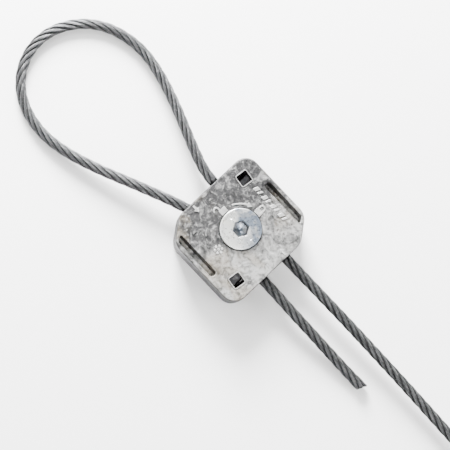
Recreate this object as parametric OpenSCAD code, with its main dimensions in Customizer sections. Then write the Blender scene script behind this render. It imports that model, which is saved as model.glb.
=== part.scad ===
// Wire rope grip. A die-cast housing lies on its back and clamps one steel wire
// rope twice, so that the rope forms an adjustable loop. A toothed wedge grips
// the rope in each channel, and a quarter-turn cam spindle between the channels
// locks both. X runs along the rope, Y across it, Z out of the housing's face.

/* [Housing] */
// Length of the housing along the rope
body_l = 57; // [54:0.5:70]
// Width of the housing across the rope
body_w = 64; // [60:0.5:76]
// Thickness of the housing
body_t = 20; // [19:0.5:26]
// Radius of the two round corners
corner_r = 8; // [3:0.5:9]
// Length of the two corner cuts, along the rope
cut_l = 10; // [9:0.5:14]
// Width of the two corner cuts, across the rope
cut_w = 13; // [10:0.5:17]
// Radius at both ends of a corner cut
cut_r = 9; // [3:0.5:9]
// Height of the raised marks above the face
mark_h = 0.4; // [0.2:0.1:0.8]

/* [Slots and windows] */
// Length of a slot at its long side
slot_l = 29; // [20:0.5:30]
// Width of a slot
slot_w = 3.8; // [3:0.1:4.5]
// Depth of a slot below the face
slot_depth = 8; // [4:0.5:10]
// Distance from a slot to the housing's long side
slot_wall = 2.3; // [1.8:0.1:2.8]
// Distance from a slot's long side to the housing's nearer end
slot_end = 7.9; // [7.5:0.1:10]
// Side of a square window
window_s = 6.3; // [5:0.1:7]
// Distance of a window's centre from the housing's nearer end
window_end = 9.7; // [9:0.1:11]

/* [Rope] */
// Diameter of the wire rope
rope_d = 6; // [5:0.1:7.2]
// Distance of a channel's axis from the housing's middle
rope_y = 8.8; // [8.8:0.1:10.6]
// Clearance round the rope in its channel
rope_clear = 0.35; // [0.2:0.05:0.6]
// Radius of the rope's bend in the entry funnel
funnel_bend = 57; // [50:1:70]
// Angle that the rope turns through in the entry funnel
funnel_turn = 18.5; // [12:0.5:18.5]

/* [Wedges] */
// Angle of a wedge
taper = 7.5; // [5:0.5:9]
// Length of a wedge
wedge_l = 27.5; // [22:0.5:29]
// Height of a wedge
wedge_h = 11; // [10:0.5:12]
// Distance that a wedge slides back
wedge_travel = 3.5; // [2:0.1:4]
// Distance from the housing's middle to a wedge pocket's sloping wall
pocket_wall_y = 21.5; // [20.5:0.1:22]
// Spacing of a wedge's teeth
tooth_pitch = 1.6; // [1.2:0.1:2.4]
// Depth of a wedge's teeth
tooth_depth = 0.45; // [0.2:0.05:0.8]
// Running clearance beside a wedge
wedge_clear = 0.3; // [0.2:0.05:0.4]
// Thickness of the plug that closes a wedge pocket
plug_t = 4; // [3:0.1:4.5]
// Radius of the pin that holds a plug
plug_pin_r = 1.5; // [1:0.1:1.7]
// Wire diameter of a wedge spring
spring_wire = 0.9; // [0.6:0.1:1.1]
// Mean radius of a wedge spring
spring_r = 3.1; // [2.5:0.1:3.3]
// Number of turns in a wedge spring
spring_turns = 5; // [4:1:6]

/* [Lock spindle] */
// Diameter of the spindle's head
head_d = 23; // [20:0.5:27]
// Thickness of the spindle's head
head_t = 4; // [3.5:0.1:5]
// Height of the head above the housing's face
head_proud = 1.8; // [1:0.1:2.4]
// Width across the flats of the hex socket
socket_af = 8; // [6:0.5:8.5]
// Depth of the hex socket
socket_depth = 5; // [4.5:0.1:5.5]
// Radius of the spindle's upper journal
journal_r = 6; // [5.8:0.1:7]
// Radius of the spindle's lower stub
stub_r = 4; // [3:0.1:4.4]
// Running clearance round the spindle's journals
journal_clear = 0.05; // [0.02:0.01:0.1]
// Distance kept between the cam and a rope
cam_clear = 0.3; // [0.2:0.05:0.6]
// Radius of the pin that stops the quarter turn
stop_r = 1.25; // [0.8:0.05:1.4]
// Distance of the stop pin from the spindle's axis
stop_at = 9.3; // [9:0.1:9.6]
// Radius of the retaining ring's recess in the back
recess_r = 8; // [7:0.1:9]
// Depth of the retaining ring's recess
recess_depth = 2.4; // [2.2:0.1:3]

/* [Eye at the line's end] */
// Length of the pressed ferrule
ferrule_l = 28; // [20:0.5:34]
// Wall of the pressed ferrule beside the two rope legs in it
ferrule_wall = 0.3; // [0.3:0.1:1]
// Distance from the ferrule to the middle of the thimble's bend
eye_l = 26; // [24:0.5:32]
// Inner radius of the thimble
thimble_r = 7; // [6:0.1:8.4]
// Thickness of the thimble under the rope
thimble_t = 1.5; // [1:0.1:2]
// Width of the thimble
thimble_w = 8.2; // [7.6:0.1:10]

/* [Hidden] */
$fn = 64;

zinc = [0.72, 0.72, 0.70];
plated = [0.74, 0.78, 0.82];
dark_steel = [0.25, 0.25, 0.26];
spring_steel = [0.45, 0.46, 0.48];
rope_steel = [0.50, 0.51, 0.52];
seal_black = [0.06, 0.06, 0.06];
soft_alloy = [0.66, 0.67, 0.68];

eps = 0.01;
through = 1;                      // how far a cutter runs past a face
fit = 0.02;                       // radial gap round a pressed pin
seat = 0.05;                      // gap between flat faces that slide or seat
corner_steps = 7;

hx = body_l / 2;
hy = body_w / 2;
mid_z = body_t / 2;
rope_r = rope_d / 2;
bore_r = rope_r + rope_clear;

// wedge pockets
pocket_h = wedge_h + 2 * wedge_clear;
pocket_y = rope_y + 0.8;          // the pocket's side on the rope
wedge_y = rope_y + 1.6;           // the wedge's side on the rope
wedge_gap = 1.4;                  // left behind a wedge that is slid right back
wedge_back = -hx + plug_t + seat + wedge_travel + wedge_gap;
wedge_front = wedge_back + wedge_l;
wedge_bevel = 0.8;
pocket_front = wedge_front + 4.5;
spring_bore_r = spring_r + spring_wire / 2 + 0.5;
spring_bore_l = 10;
spring_y = rope_y + 8.6;          // where the spring's axis meets the wedge's back

// spindle
head_z = body_t + head_proud - head_t;
seat_z = head_z - 0.6;            // floor of the head's counterbore
seat_r = head_d / 2 + 0.3;
cam_r = min(rope_y - rope_r - cam_clear, journal_r - 0.5);
cam_flat = cam_r - 1.25;
cam_z = [mid_z - 5.4, mid_z + 5.4];
floor_z = cam_z[0] - 0.2;         // floor of the spindle's bore
groove_z = cam_z[1] + 0.25;
groove_h = 1.1;
groove_r = journal_r - 1;
ring_z = 0.9;                     // lower side of the retaining ring
ring_t = 0.8;
washer_t = recess_depth - ring_z - ring_t - 2 * seat;
stop_rise = 1.5;
stop_depth = 7;
turn = 90;

// rope end with an eye
line_y = 8;
line_end_x = hx + 141.5;
ferrule_r = rope_d + ferrule_wall;
line_end_z = ferrule_r;           // so the ferrule lies on the surface
ferrule_end_x = line_end_x + ferrule_l;
eye_x = ferrule_end_x + eye_l;
eye_rope_r = thimble_r + thimble_t + rope_r + 0.3;
leg_y = rope_r + 0.1;
leg_reach = norm([eye_l, leg_y]);
leg_angle = asin(eye_rope_r / leg_reach) - atan2(leg_y, eye_l);
leg_l = sqrt(leg_reach * leg_reach - eye_rope_r * eye_rope_r);
thimble_start = 4.5;

// where the bent rope leaves the tail channel
bend_x = 19.5 - hx;
mouth_x = bend_x - funnel_bend * sin(funnel_turn);
mouth_y = -rope_y - funnel_bend * (1 - cos(funnel_turn));
lead = 6;                         // straight stretch outside that mouth

// Each route runs from an end face of the housing, so its x counts from there
function from_end(side, route) = [for (p = route) [side * hx + p.x, p.y, p.z]];

line_route = concat(from_end(1, [
    [0, rope_y, mid_z], [5.5, rope_y, mid_z], [19.5, 8.9, 9.7], [33.5, 9, 9.3], [47.5, 9.1, 8.9],
    [61.5, 9.1, 8.4], [75.5, 9, 8], [89.5, 8.9, 7.5], [103.5, 8.7, 7.1], [117.5, 8.4, 6.7],
    [129.5, 8.1, 6.4]]),
    [[line_end_x - 4, line_y, line_end_z], [line_end_x, line_y, line_end_z]]);

loop_route = concat(from_end(-1, [
    [0, rope_y, mid_z], [-3.5, rope_y, mid_z], [-10.5, 9.9, 9.7], [-17.5, 12.2, 9.2],
    [-25.5, 15.2, 8.5], [-33.5, 18.4, 7.8], [-41.5, 21.6, 7], [-49.5, 24.6, 6.1],
    [-57.5, 27.2, 5.3], [-65.5, 29.4, 4.5], [-73.5, 31, 3.9], [-81.5, 31.7, 3.4],
    [-89.5, 31, 3.1], [-97.5, 29, 3], [-104.5, 26, 3], [-110.5, 22, 3], [-115.5, 17, 3],
    [-119.5, 11.2, 3], [-122.5, 5, 3], [-124.1, -2, 3], [-124.3, -9, 3], [-122.9, -16, 3],
    [-120.1, -22.4, 3], [-116.1, -28.2, 3], [-110.9, -33, 3], [-104.5, -36.8, 3],
    [-97.5, -39.3, 3], [-89.5, -40.7, 3.1], [-81.5, -40.8, 3.4], [-72.5, -39.5, 4],
    [-63.5, -37.2, 4.8], [-54.5, -34.2, 5.6], [-45.5, -30.7, 6.5], [-36.5, -26.9, 7.4],
    [-27.5, -23, 8.3], [-18.5, -19.3, 9.2], [-11.5, -16.4, 9.7]]),
    [[mouth_x - lead * cos(funnel_turn), mouth_y - lead * sin(funnel_turn), mid_z],
    [mouth_x, mouth_y, mid_z]]);

tail_route = from_end(1, [
    [0, -rope_y, mid_z], [5.5, -rope_y, mid_z], [16.5, -9, 9.5], [27.5, -9.1, 8.5], [38.5, -9.1, 7.2],
    [49.5, -9.1, 5.8], [60.5, -9.1, 4.5], [69.5, -9.1, 3.6], [76.5, -9, 3.1], [81.5, -9, 3]]);

// Point on a leg of the eye, at distance s from the ferrule
function eye_leg_at(side, s) =
    [ferrule_end_x + s * cos(leg_angle), line_y + side * (leg_y + s * sin(leg_angle)), line_end_z];

eye_turn = 90 + leg_angle;
eye_route = [
    eye_leg_at(-1, rope_r * tan(leg_angle) + 0.1), eye_leg_at(-1, leg_l / 2),
    for (a = [-eye_turn : eye_turn / 6 : eye_turn + 1])
        [eye_x + eye_rope_r * cos(a), line_y + eye_rope_r * sin(a), line_end_z],
    eye_leg_at(1, leg_l / 2), eye_leg_at(1, rope_r * tan(leg_angle) + 0.1)
];

// ---- outlines -------------------------------------------------------------

function unit(v) = v / norm(v);

// Points of an arc of radius r that rounds the corner p between a and b
function corner(a, p, b, r) =
    let(u = unit(a - p), w = unit(b - p), half = acos(u * w) / 2,
        c = p + unit(u + w) * r / sin(half), s = p + u * r / tan(half), e = p + w * r / tan(half),
        from = atan2(s.y - c.y, s.x - c.x), to = atan2(e.y - c.y, e.x - c.x),
        sweep = ((to - from + 540) % 360) - 180)
    [for (i = [0 : corner_steps])
        c + r * [cos(from + sweep * i / corner_steps), sin(from + sweep * i / corner_steps)]];

function rounded(points, radii) =
    let(n = len(points))
    [for (i = [0 : n - 1])
        each corner(points[(i + n - 1) % n], points[i], points[(i + 1) % n], radii[i])];

// Height of a wedge pocket's sloping wall at x
function wall_y(x) = pocket_wall_y - x * tan(taper);

// The same housing side, turned half round for the tail's channel
module tail_side() rotate([0, 0, 180]) children();

module both_sides() {
    children();
    tail_side() children();
}

module along_x() rotate([0, 90, 0]) children();

// ---- housing --------------------------------------------------------------

module body_outline() {
    polygon(rounded(
        [[hx, -hy], [hx, hy - cut_w], [hx - cut_l, hy], [-hx, hy], [-hx, cut_w - hy], [cut_l - hx, -hy]],
        [corner_r, cut_r, cut_r, corner_r, cut_r, cut_r]));
}

module slot_outline() {
    high = hy - slot_wall;
    low = high - slot_w;
    right = hx - slot_end;
    polygon(rounded(
        [[right - slot_l, low], [right, low], [right - slot_w * cut_l / cut_w, high], [right - slot_l, high]],
        [1, 0.8, 1.4, 1.4]));
}

module window_outline() {
    x = window_end - hx;
    translate([x, wall_y(x) - window_s / 2 / cos(taper)])
        rotate(-taper) square(window_s, center = true);
}

module rope_bore() {
    translate([-hx - through, rope_y, mid_z]) along_x() cylinder(r = bore_r, h = body_l + 2 * through);
}

// The entry widens outwards, so the rope may leave at an angle
module entry_funnel() {
    arc_at = [-bend_x, rope_y + funnel_bend];
    inner_bend = funnel_bend - bore_r;
    height = 2 * bore_r + 0.2;
    translate([0, 0, mid_z - height / 2]) linear_extrude(height)
        polygon(concat(
            [[-bend_x, rope_y - 0.5], [hx + through, rope_y - 0.5]],
            [for (a = [funnel_turn + 4 : -(funnel_turn + 4) / 6 : 0])
                arc_at + inner_bend * [sin(a), -cos(a)]]));
}

module wedge_pocket() {
    translate([0, 0, mid_z - pocket_h / 2]) linear_extrude(pocket_h)
        polygon([[-hx - through, pocket_y], [pocket_front, pocket_y], [pocket_front, wall_y(pocket_front)],
            [-hx - through, wall_y(-hx - through)]]);
}

module plug_pin_axis() {
    translate([-hx + plug_t / 2, pocket_y + 10, 0]) children();
}

// Outer height of the pin that holds an end plug
plug_pin_top = mid_z + pocket_h / 2 + 1.6;

module channel_cuts() {
    rope_bore();
    entry_funnel();
    wedge_pocket();
    translate([0, 0, mid_z]) linear_extrude(mid_z + through) window_outline();
    translate([0, 0, body_t - slot_depth]) linear_extrude(slot_depth + through) slot_outline();
    plug_pin_axis() translate([0, 0, -through]) cylinder(r = plug_pin_r + fit, h = plug_pin_top + through + 0.2);
}

module spindle_cuts() {
    translate([0, 0, seat_z]) cylinder(r = seat_r, h = body_t);
    translate([0, 0, floor_z]) cylinder(r = journal_r + journal_clear, h = body_t);
    translate([0, 0, -through]) cylinder(r = stub_r + journal_clear, h = body_t);
    translate([0, 0, -through]) cylinder(r = recess_r, h = recess_depth + through);
    translate([-stop_at, 0, seat_z - stop_depth]) cylinder(r = stop_r + fit, h = body_t);
}

// Raised padlock, 4.3 by 4.3 with its shackle, on the side that `out` points to
module padlock_mark(open) {
    translate([-2.15, 0]) square([4.3, 3.2]);
    translate([open ? -2.6 : 0, 3.2]) difference() {
        union() {
            circle(r = 1.9);
            translate([-1.9, -1.2]) square([3.8, 1.2]);
        }
        circle(r = 1);
        translate([-1, -1.3]) square([2, 1.3]);
        if (open) translate([-2, -1.3]) square([1.2, 1.2]);
    }
}

// Raised arrow that points along +X
module arrow_mark() {
    translate([-2.4, -0.55]) square([2.8, 1.1]);
    polygon([[0, -1.7], [2.2, 0], [0, 1.7]]);
}

// Raised arc arrow from the open padlock to the closed one
module turn_arrow_mark() {
    r = head_d / 2 + 2.5;
    polygon(concat(
        [for (a = [116 : 8 : 156]) (r + 0.4) * [cos(a), sin(a)]],
        [for (a = [156 : -8 : 116]) (r - 0.4) * [cos(a), sin(a)]]));
    rotate(116) translate([r, 0]) polygon([[-1.5, 0], [0, -2.4], [1.5, 0]]);
}

module face_marks() {
    translate([0, 0, body_t - eps]) linear_extrude(mark_h + eps) {
        translate([0, head_d / 2 + 0.5]) padlock_mark(false);
        translate([-head_d / 2 - 0.5, 0]) rotate(90) padlock_mark(true);
        turn_arrow_mark();
        translate([hx - 3.9, rope_y - 0.5]) rotate(180) arrow_mark();
        translate([-hx + 4, -rope_y - 1.3]) arrow_mark();
    }
}

module casting_body() {
    color(zinc) {
        difference() {
            linear_extrude(body_t) body_outline();
            both_sides() channel_cuts();
            spindle_cuts();
        }
        face_marks();
    }
}

// ---- lock spindle -----------------------------------------------------------

module hex_socket() {
    top = head_z + head_t;
    across = socket_af / cos(30) / 2;
    translate([0, 0, top - socket_depth]) cylinder(r = across, h = socket_depth + through, $fn = 6);
    translate([0, 0, top - socket_depth - 1.3]) cylinder(r1 = 0.4, r2 = socket_af / 2 - 0.1, h = 1.3 + eps);
    translate([0, 0, top - 0.5]) cylinder(r1 = across - 0.5, r2 = across + 0.5, h = 1);
}

// Groove in the head's underside in which the stop pin travels
module stop_groove() {
    wide = stop_r + 0.3;
    translate([0, 0, head_z - through]) {
        rotate(180) rotate_extrude(angle = turn) translate([stop_at - wide, 0]) square([2 * wide, 2.3 + through - 0.6]);
        for (a = [180, 180 + turn]) rotate(a) translate([stop_at, 0, 0]) cylinder(r = wide, h = 2.3 + through - 0.6);
    }
}

module lock_spindle() {
    chamfer = 0.5;
    color(plated) difference() {
        union() {
            translate([0, 0, head_z]) cylinder(d = head_d, h = head_t - chamfer);
            translate([0, 0, head_z + head_t - chamfer])
                cylinder(r1 = head_d / 2, r2 = head_d / 2 - chamfer, h = chamfer);
            translate([0, 0, cam_z[1]]) cylinder(r = journal_r, h = head_z - cam_z[1] + eps);
            intersection() {
                translate([0, 0, cam_z[0]]) cylinder(r = cam_r, h = cam_z[1] - cam_z[0] + eps);
                translate([-cam_r - 1, -cam_flat, cam_z[0]]) cube([2 * cam_r + 2, 2 * cam_flat, 20]);
            }
            translate([0, 0, ring_z - 0.6]) cylinder(r = stub_r, h = cam_z[0] - ring_z + 0.6 + eps);
        }
        hex_socket();
        stop_groove();
        translate([0, 0, groove_z]) difference() {
            cylinder(r = journal_r + 1, h = groove_h);
            translate([0, 0, -1]) cylinder(r = groove_r, h = groove_h + 2);
        }
        translate([0, 0, ring_z - seat]) difference() {
            cylinder(r = stub_r + 1, h = ring_t + 2 * seat);
            translate([0, 0, -1]) cylinder(r = stub_r - 0.7, h = ring_t + 3);
        }
        for (side = [-1, 1]) translate([side * 0.67 * head_d / 2, 0, head_z + head_t + 0.35]) sphere(r = 0.8);
    }
}

module spindle_seal_ring() {
    thick = (journal_r - groove_r) / 2 - 0.02;
    color(seal_black) translate([0, 0, groove_z + groove_h / 2])
        rotate_extrude() translate([(journal_r + groove_r) / 2, 0]) circle(r = thick, $fn = 32);
}

module spindle_wave_washer() {
    inner = journal_r + 0.3;
    outer = stop_at - stop_r - 0.25;
    color(spring_steel) translate([0, 0, seat_z]) difference() {
        cylinder(r = outer, h = 0.5);
        translate([0, 0, -1]) cylinder(r = inner, h = 3);
    }
}

module turn_stop_pin() {
    color(dark_steel) translate([-stop_at, 0, seat_z - stop_depth]) cylinder(r = stop_r, h = stop_depth + stop_rise);
}

module spindle_thrust_washer() {
    color(spring_steel) translate([0, 0, ring_z + ring_t + seat]) difference() {
        cylinder(r = recess_r - 0.4, h = washer_t);
        translate([0, 0, -1]) cylinder(r = stub_r + 0.1, h = 3);
    }
}

// Open ring that snaps into the groove of the spindle's lower end, with two eyes for pliers
module spindle_retaining_ring() {
    eye_angle = 24;
    color(dark_steel) translate([0, 0, ring_z]) difference() {
        union() {
            cylinder(r = stub_r + 1.3, h = ring_t);
            for (a = [-eye_angle, eye_angle]) rotate(a) translate([0, stub_r + 0.9, 0]) cylinder(r = 1.2, h = ring_t);
        }
        translate([0, 0, -1]) cylinder(r = stub_r - 0.65, h = 3);
        translate([-1.1, 0, -1]) cube([2.2, recess_r, 3]);
        for (a = [-eye_angle, eye_angle]) rotate(a) translate([0, stub_r + 1, -1]) cylinder(r = 0.5, h = 3);
    }
}

// ---- wedges ---------------------------------------------------------------

module spring_axis() {
    translate([wedge_back, spring_y, mid_z]) rotate(-taper) children();
}

module wedge() {
    low = mid_z - wedge_h / 2;
    groove = rope_r + 0.15;
    color(dark_steel) difference() {
        translate([0, 0, low]) linear_extrude(wedge_h)
            polygon([
                [wedge_back, wedge_y], [wedge_front - wedge_bevel, wedge_y], [wedge_front, wedge_y + wedge_bevel],
                [wedge_front, wall_y(wedge_front) - seat - wedge_bevel],
                [wedge_front - wedge_bevel, wall_y(wedge_front - wedge_bevel) - seat],
                [wedge_back, wall_y(wedge_back) - seat]]);
        translate([wedge_back - through, rope_y, mid_z]) along_x() cylinder(r = groove, h = wedge_l + 2 * through);
        for (x = [wedge_back + tooth_pitch : tooth_pitch : wedge_front - tooth_pitch])
            translate([x, rope_y, mid_z]) along_x() cylinder(r = groove + tooth_depth, h = tooth_pitch / 2);
        spring_axis() translate([-through, 0, 0]) along_x() cylinder(r = spring_bore_r, h = spring_bore_l + through);
    }
}

module line_wedge() wedge();

module tail_wedge() tail_side() wedge();

// Coil of round wire, laid along +Z from 0 to l
module coil(l, r, wire, turns) {
    steps = 12;
    sides = 6;
    rings = steps * turns;
    rise = (l - wire) / rings;
    points = [for (i = [0 : rings]) let(a = 360 * i / steps)
        each [for (k = [0 : sides - 1]) let(b = 360 * k / sides)
            [(r + wire / 2 * cos(b)) * cos(a), (r + wire / 2 * cos(b)) * sin(a),
                wire / 2 + rise * i + wire / 2 * sin(b)]]];
    polyhedron(points, tube_faces(rings + 1, sides), convexity = 8);
}

spring_front = spring_bore_l - seat;
spring_back = (wedge_back - (-hx + plug_t)) / cos(taper) - 0.6;

module wedge_spring() {
    color(spring_steel) spring_axis() translate([-spring_back, 0, 0]) along_x()
        coil(spring_back + spring_front, spring_r, spring_wire, spring_turns);
}

module line_wedge_spring() wedge_spring();

module tail_wedge_spring() tail_side() wedge_spring();

module end_plug() {
    outer = -hx + plug_t;
    color(zinc) difference() {
        translate([0, 0, mid_z - pocket_h / 2 + seat]) linear_extrude(pocket_h - 2 * seat)
            polygon([[-hx, pocket_y + seat], [outer, pocket_y + seat], [outer, wall_y(outer) - seat],
                [-hx, wall_y(-hx) - 2 * seat]]);
        rope_bore();
        plug_pin_axis() cylinder(r = plug_pin_r + fit, h = body_t);
    }
}

module line_end_plug() end_plug();

module tail_end_plug() tail_side() end_plug();

module plug_pin() {
    color(dark_steel) plug_pin_axis() translate([0, 0, 0.3]) cylinder(r = plug_pin_r, h = plug_pin_top - 0.3);
}

module line_plug_pin() plug_pin();

module tail_plug_pin() tail_side() plug_pin();

// ---- rope -------------------------------------------------------------------

function tube_faces(rings, sides) = concat(
    [[for (k = [0 : sides - 1]) k]],
    [for (i = [0 : rings - 2], k = [0 : sides - 1]) let(n = (k + 1) % sides)
        [i * sides + k, (i + 1) * sides + k, (i + 1) * sides + n, i * sides + n]],
    [[for (k = [sides - 1 : -1 : 0]) (rings - 1) * sides + k]]);

// Direction of the route at its point i
function heading(route, i) =
    let(n = len(route))
    i == 0 ? unit(route[1] - route[0])
    : i == n - 1 ? unit(route[n - 1] - route[n - 2])
    : unit(unit(route[i + 1] - route[i]) + unit(route[i] - route[i - 1]));

module rope_tube(route) {
    sides = 10;
    points = [for (i = [0 : len(route) - 1])
        let(t = heading(route, i), side = unit(cross(t, [0, 0, 1])), up = cross(side, t))
        each [for (k = [0 : sides - 1]) let(b = 360 * (k + 0.5) / sides)
            route[i] + rope_r * (cos(b) * side + sin(b) * up)]];
    color(rope_steel) polyhedron(points, tube_faces(len(route), sides), convexity = 8);
}

module line_in_channel() {
    color(rope_steel) translate([-hx, rope_y, mid_z]) along_x() cylinder(r = rope_r, h = body_l);
}

module tail_in_channel() {
    color(rope_steel) {
        translate([bend_x, -rope_y, mid_z]) along_x() cylinder(r = rope_r, h = hx - bend_x);
        translate([bend_x, -rope_y - funnel_bend, mid_z]) rotate(90)
            rotate_extrude(angle = funnel_turn) translate([funnel_bend, 0]) circle(r = rope_r);
    }
}

module standing_line() rope_tube(line_route);

module rope_loop() rope_tube(loop_route);

module rope_tail() rope_tube(tail_route);

// ---- eye at the line's far end ------------------------------------------------

module eye_ferrule() {
    nose = 1.6;
    color(soft_alloy) translate([line_end_x, line_y, line_end_z]) along_x() {
        cylinder(r1 = ferrule_r - nose, r2 = ferrule_r, h = nose);
        translate([0, 0, nose]) cylinder(r = ferrule_r, h = ferrule_l - 2 * nose);
        translate([0, 0, ferrule_l - nose]) cylinder(r1 = ferrule_r, r2 = ferrule_r - nose, h = nose);
    }
}

// Drop-shaped outline at distance r from the middle of the eye's bend
module eye_outline(r) {
    intersection() {
        polygon(concat(
            [for (a = [-eye_turn : eye_turn / 16 : eye_turn + 1]) [eye_x + r * cos(a), line_y + r * sin(a)]],
            [[eye_x - r / sin(leg_angle), line_y]]));
        translate([ferrule_end_x + thimble_start, line_y - eye_rope_r - rope_d])
            square([2 * eye_l, 2 * (eye_rope_r + rope_d)]);
    }
}

module eye_thimble() {
    flange = (thimble_w - rope_d) / 2 - 0.3;
    color(plated) translate([0, 0, line_end_z - thimble_w / 2]) difference() {
        union() {
            linear_extrude(thimble_w) eye_outline(thimble_r + thimble_t);
            for (z = [0, thimble_w - flange])
                translate([0, 0, z]) linear_extrude(flange) eye_outline(eye_rope_r - 0.4);
        }
        translate([0, 0, -through]) linear_extrude(thimble_w + 2 * through) eye_outline(thimble_r);
    }
}

module eye_rope() rope_tube(eye_route);

casting_body();
lock_spindle();
spindle_seal_ring();
spindle_wave_washer();
turn_stop_pin();
spindle_thrust_washer();
spindle_retaining_ring();
line_wedge();
tail_wedge();
line_wedge_spring();
tail_wedge_spring();
line_end_plug();
tail_end_plug();
line_plug_pin();
tail_plug_pin();
line_in_channel();
tail_in_channel();
standing_line();
rope_loop();
rope_tail();
eye_ferrule();
eye_thimble();
eye_rope();
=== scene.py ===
"""Wire rope grip: the visual model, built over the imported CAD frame.

A die-cast zinc housing grips one steel wire rope twice, so that the rope makes an adjustable loop.
X runs along the rope, Y across it and Z out of the housing's face. The classes below hold their
sizes in millimetres, and meshes are made in metres.
"""
import logging
import math
from collections.abc import Callable, Iterable
from dataclasses import dataclass, field
from enum import Enum

import bmesh
import bpy
import numpy as np
from mathutils import Matrix, Vector


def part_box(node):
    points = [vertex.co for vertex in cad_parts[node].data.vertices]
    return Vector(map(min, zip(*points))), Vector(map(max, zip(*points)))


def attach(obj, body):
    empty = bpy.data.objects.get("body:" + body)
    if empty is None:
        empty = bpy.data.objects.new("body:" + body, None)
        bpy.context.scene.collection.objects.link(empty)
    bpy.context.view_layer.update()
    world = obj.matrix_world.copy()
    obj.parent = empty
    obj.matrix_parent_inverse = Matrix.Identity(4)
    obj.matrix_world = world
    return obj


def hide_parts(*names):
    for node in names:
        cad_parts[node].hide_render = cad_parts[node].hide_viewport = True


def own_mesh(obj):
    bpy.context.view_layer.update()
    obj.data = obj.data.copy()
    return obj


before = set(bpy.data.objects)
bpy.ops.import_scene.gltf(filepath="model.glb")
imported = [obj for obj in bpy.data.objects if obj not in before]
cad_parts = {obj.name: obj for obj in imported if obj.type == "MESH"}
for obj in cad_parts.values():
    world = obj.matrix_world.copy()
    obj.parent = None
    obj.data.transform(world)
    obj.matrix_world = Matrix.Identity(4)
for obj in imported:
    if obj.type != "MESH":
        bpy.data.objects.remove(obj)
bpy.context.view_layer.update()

LOG = logging.getLogger("wire_rope_grip")
MM = 0.001
TAU = 2 * math.pi
THROUGH = 1.0  # how far a cutter reaches past the face that it opens


# ---------------------------------------------------------------------------------------------
# Frame sizes
# ---------------------------------------------------------------------------------------------

def box_mm(node: str) -> tuple[np.ndarray, np.ndarray]:
    """Give a CAD node's box in millimetres.

    Args:
        node: Name of the CAD node.

    Returns:
        The lowest and the highest corner.
    """
    low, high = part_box(node)
    return np.array(low) / MM, np.array(high) / MM


class Body(Enum):
    """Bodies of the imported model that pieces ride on."""

    HOUSING = "housing"
    SPINDLE = "cam_spindle"
    LINE_WEDGE = "line_gripper"
    TAIL_WEDGE = "tail_gripper"


class Side(Enum):
    """The two halves of the grip, which are the same after half a turn about Z."""

    LINE = 1
    TAIL = -1

    def matrix(self) -> Matrix:
        """Turn a line-side shape to this side."""
        return Matrix.Rotation(0 if self is Side.LINE else math.pi, 4, "Z")


# ---------------------------------------------------------------------------------------------
# Shader nodes
# ---------------------------------------------------------------------------------------------

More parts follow.
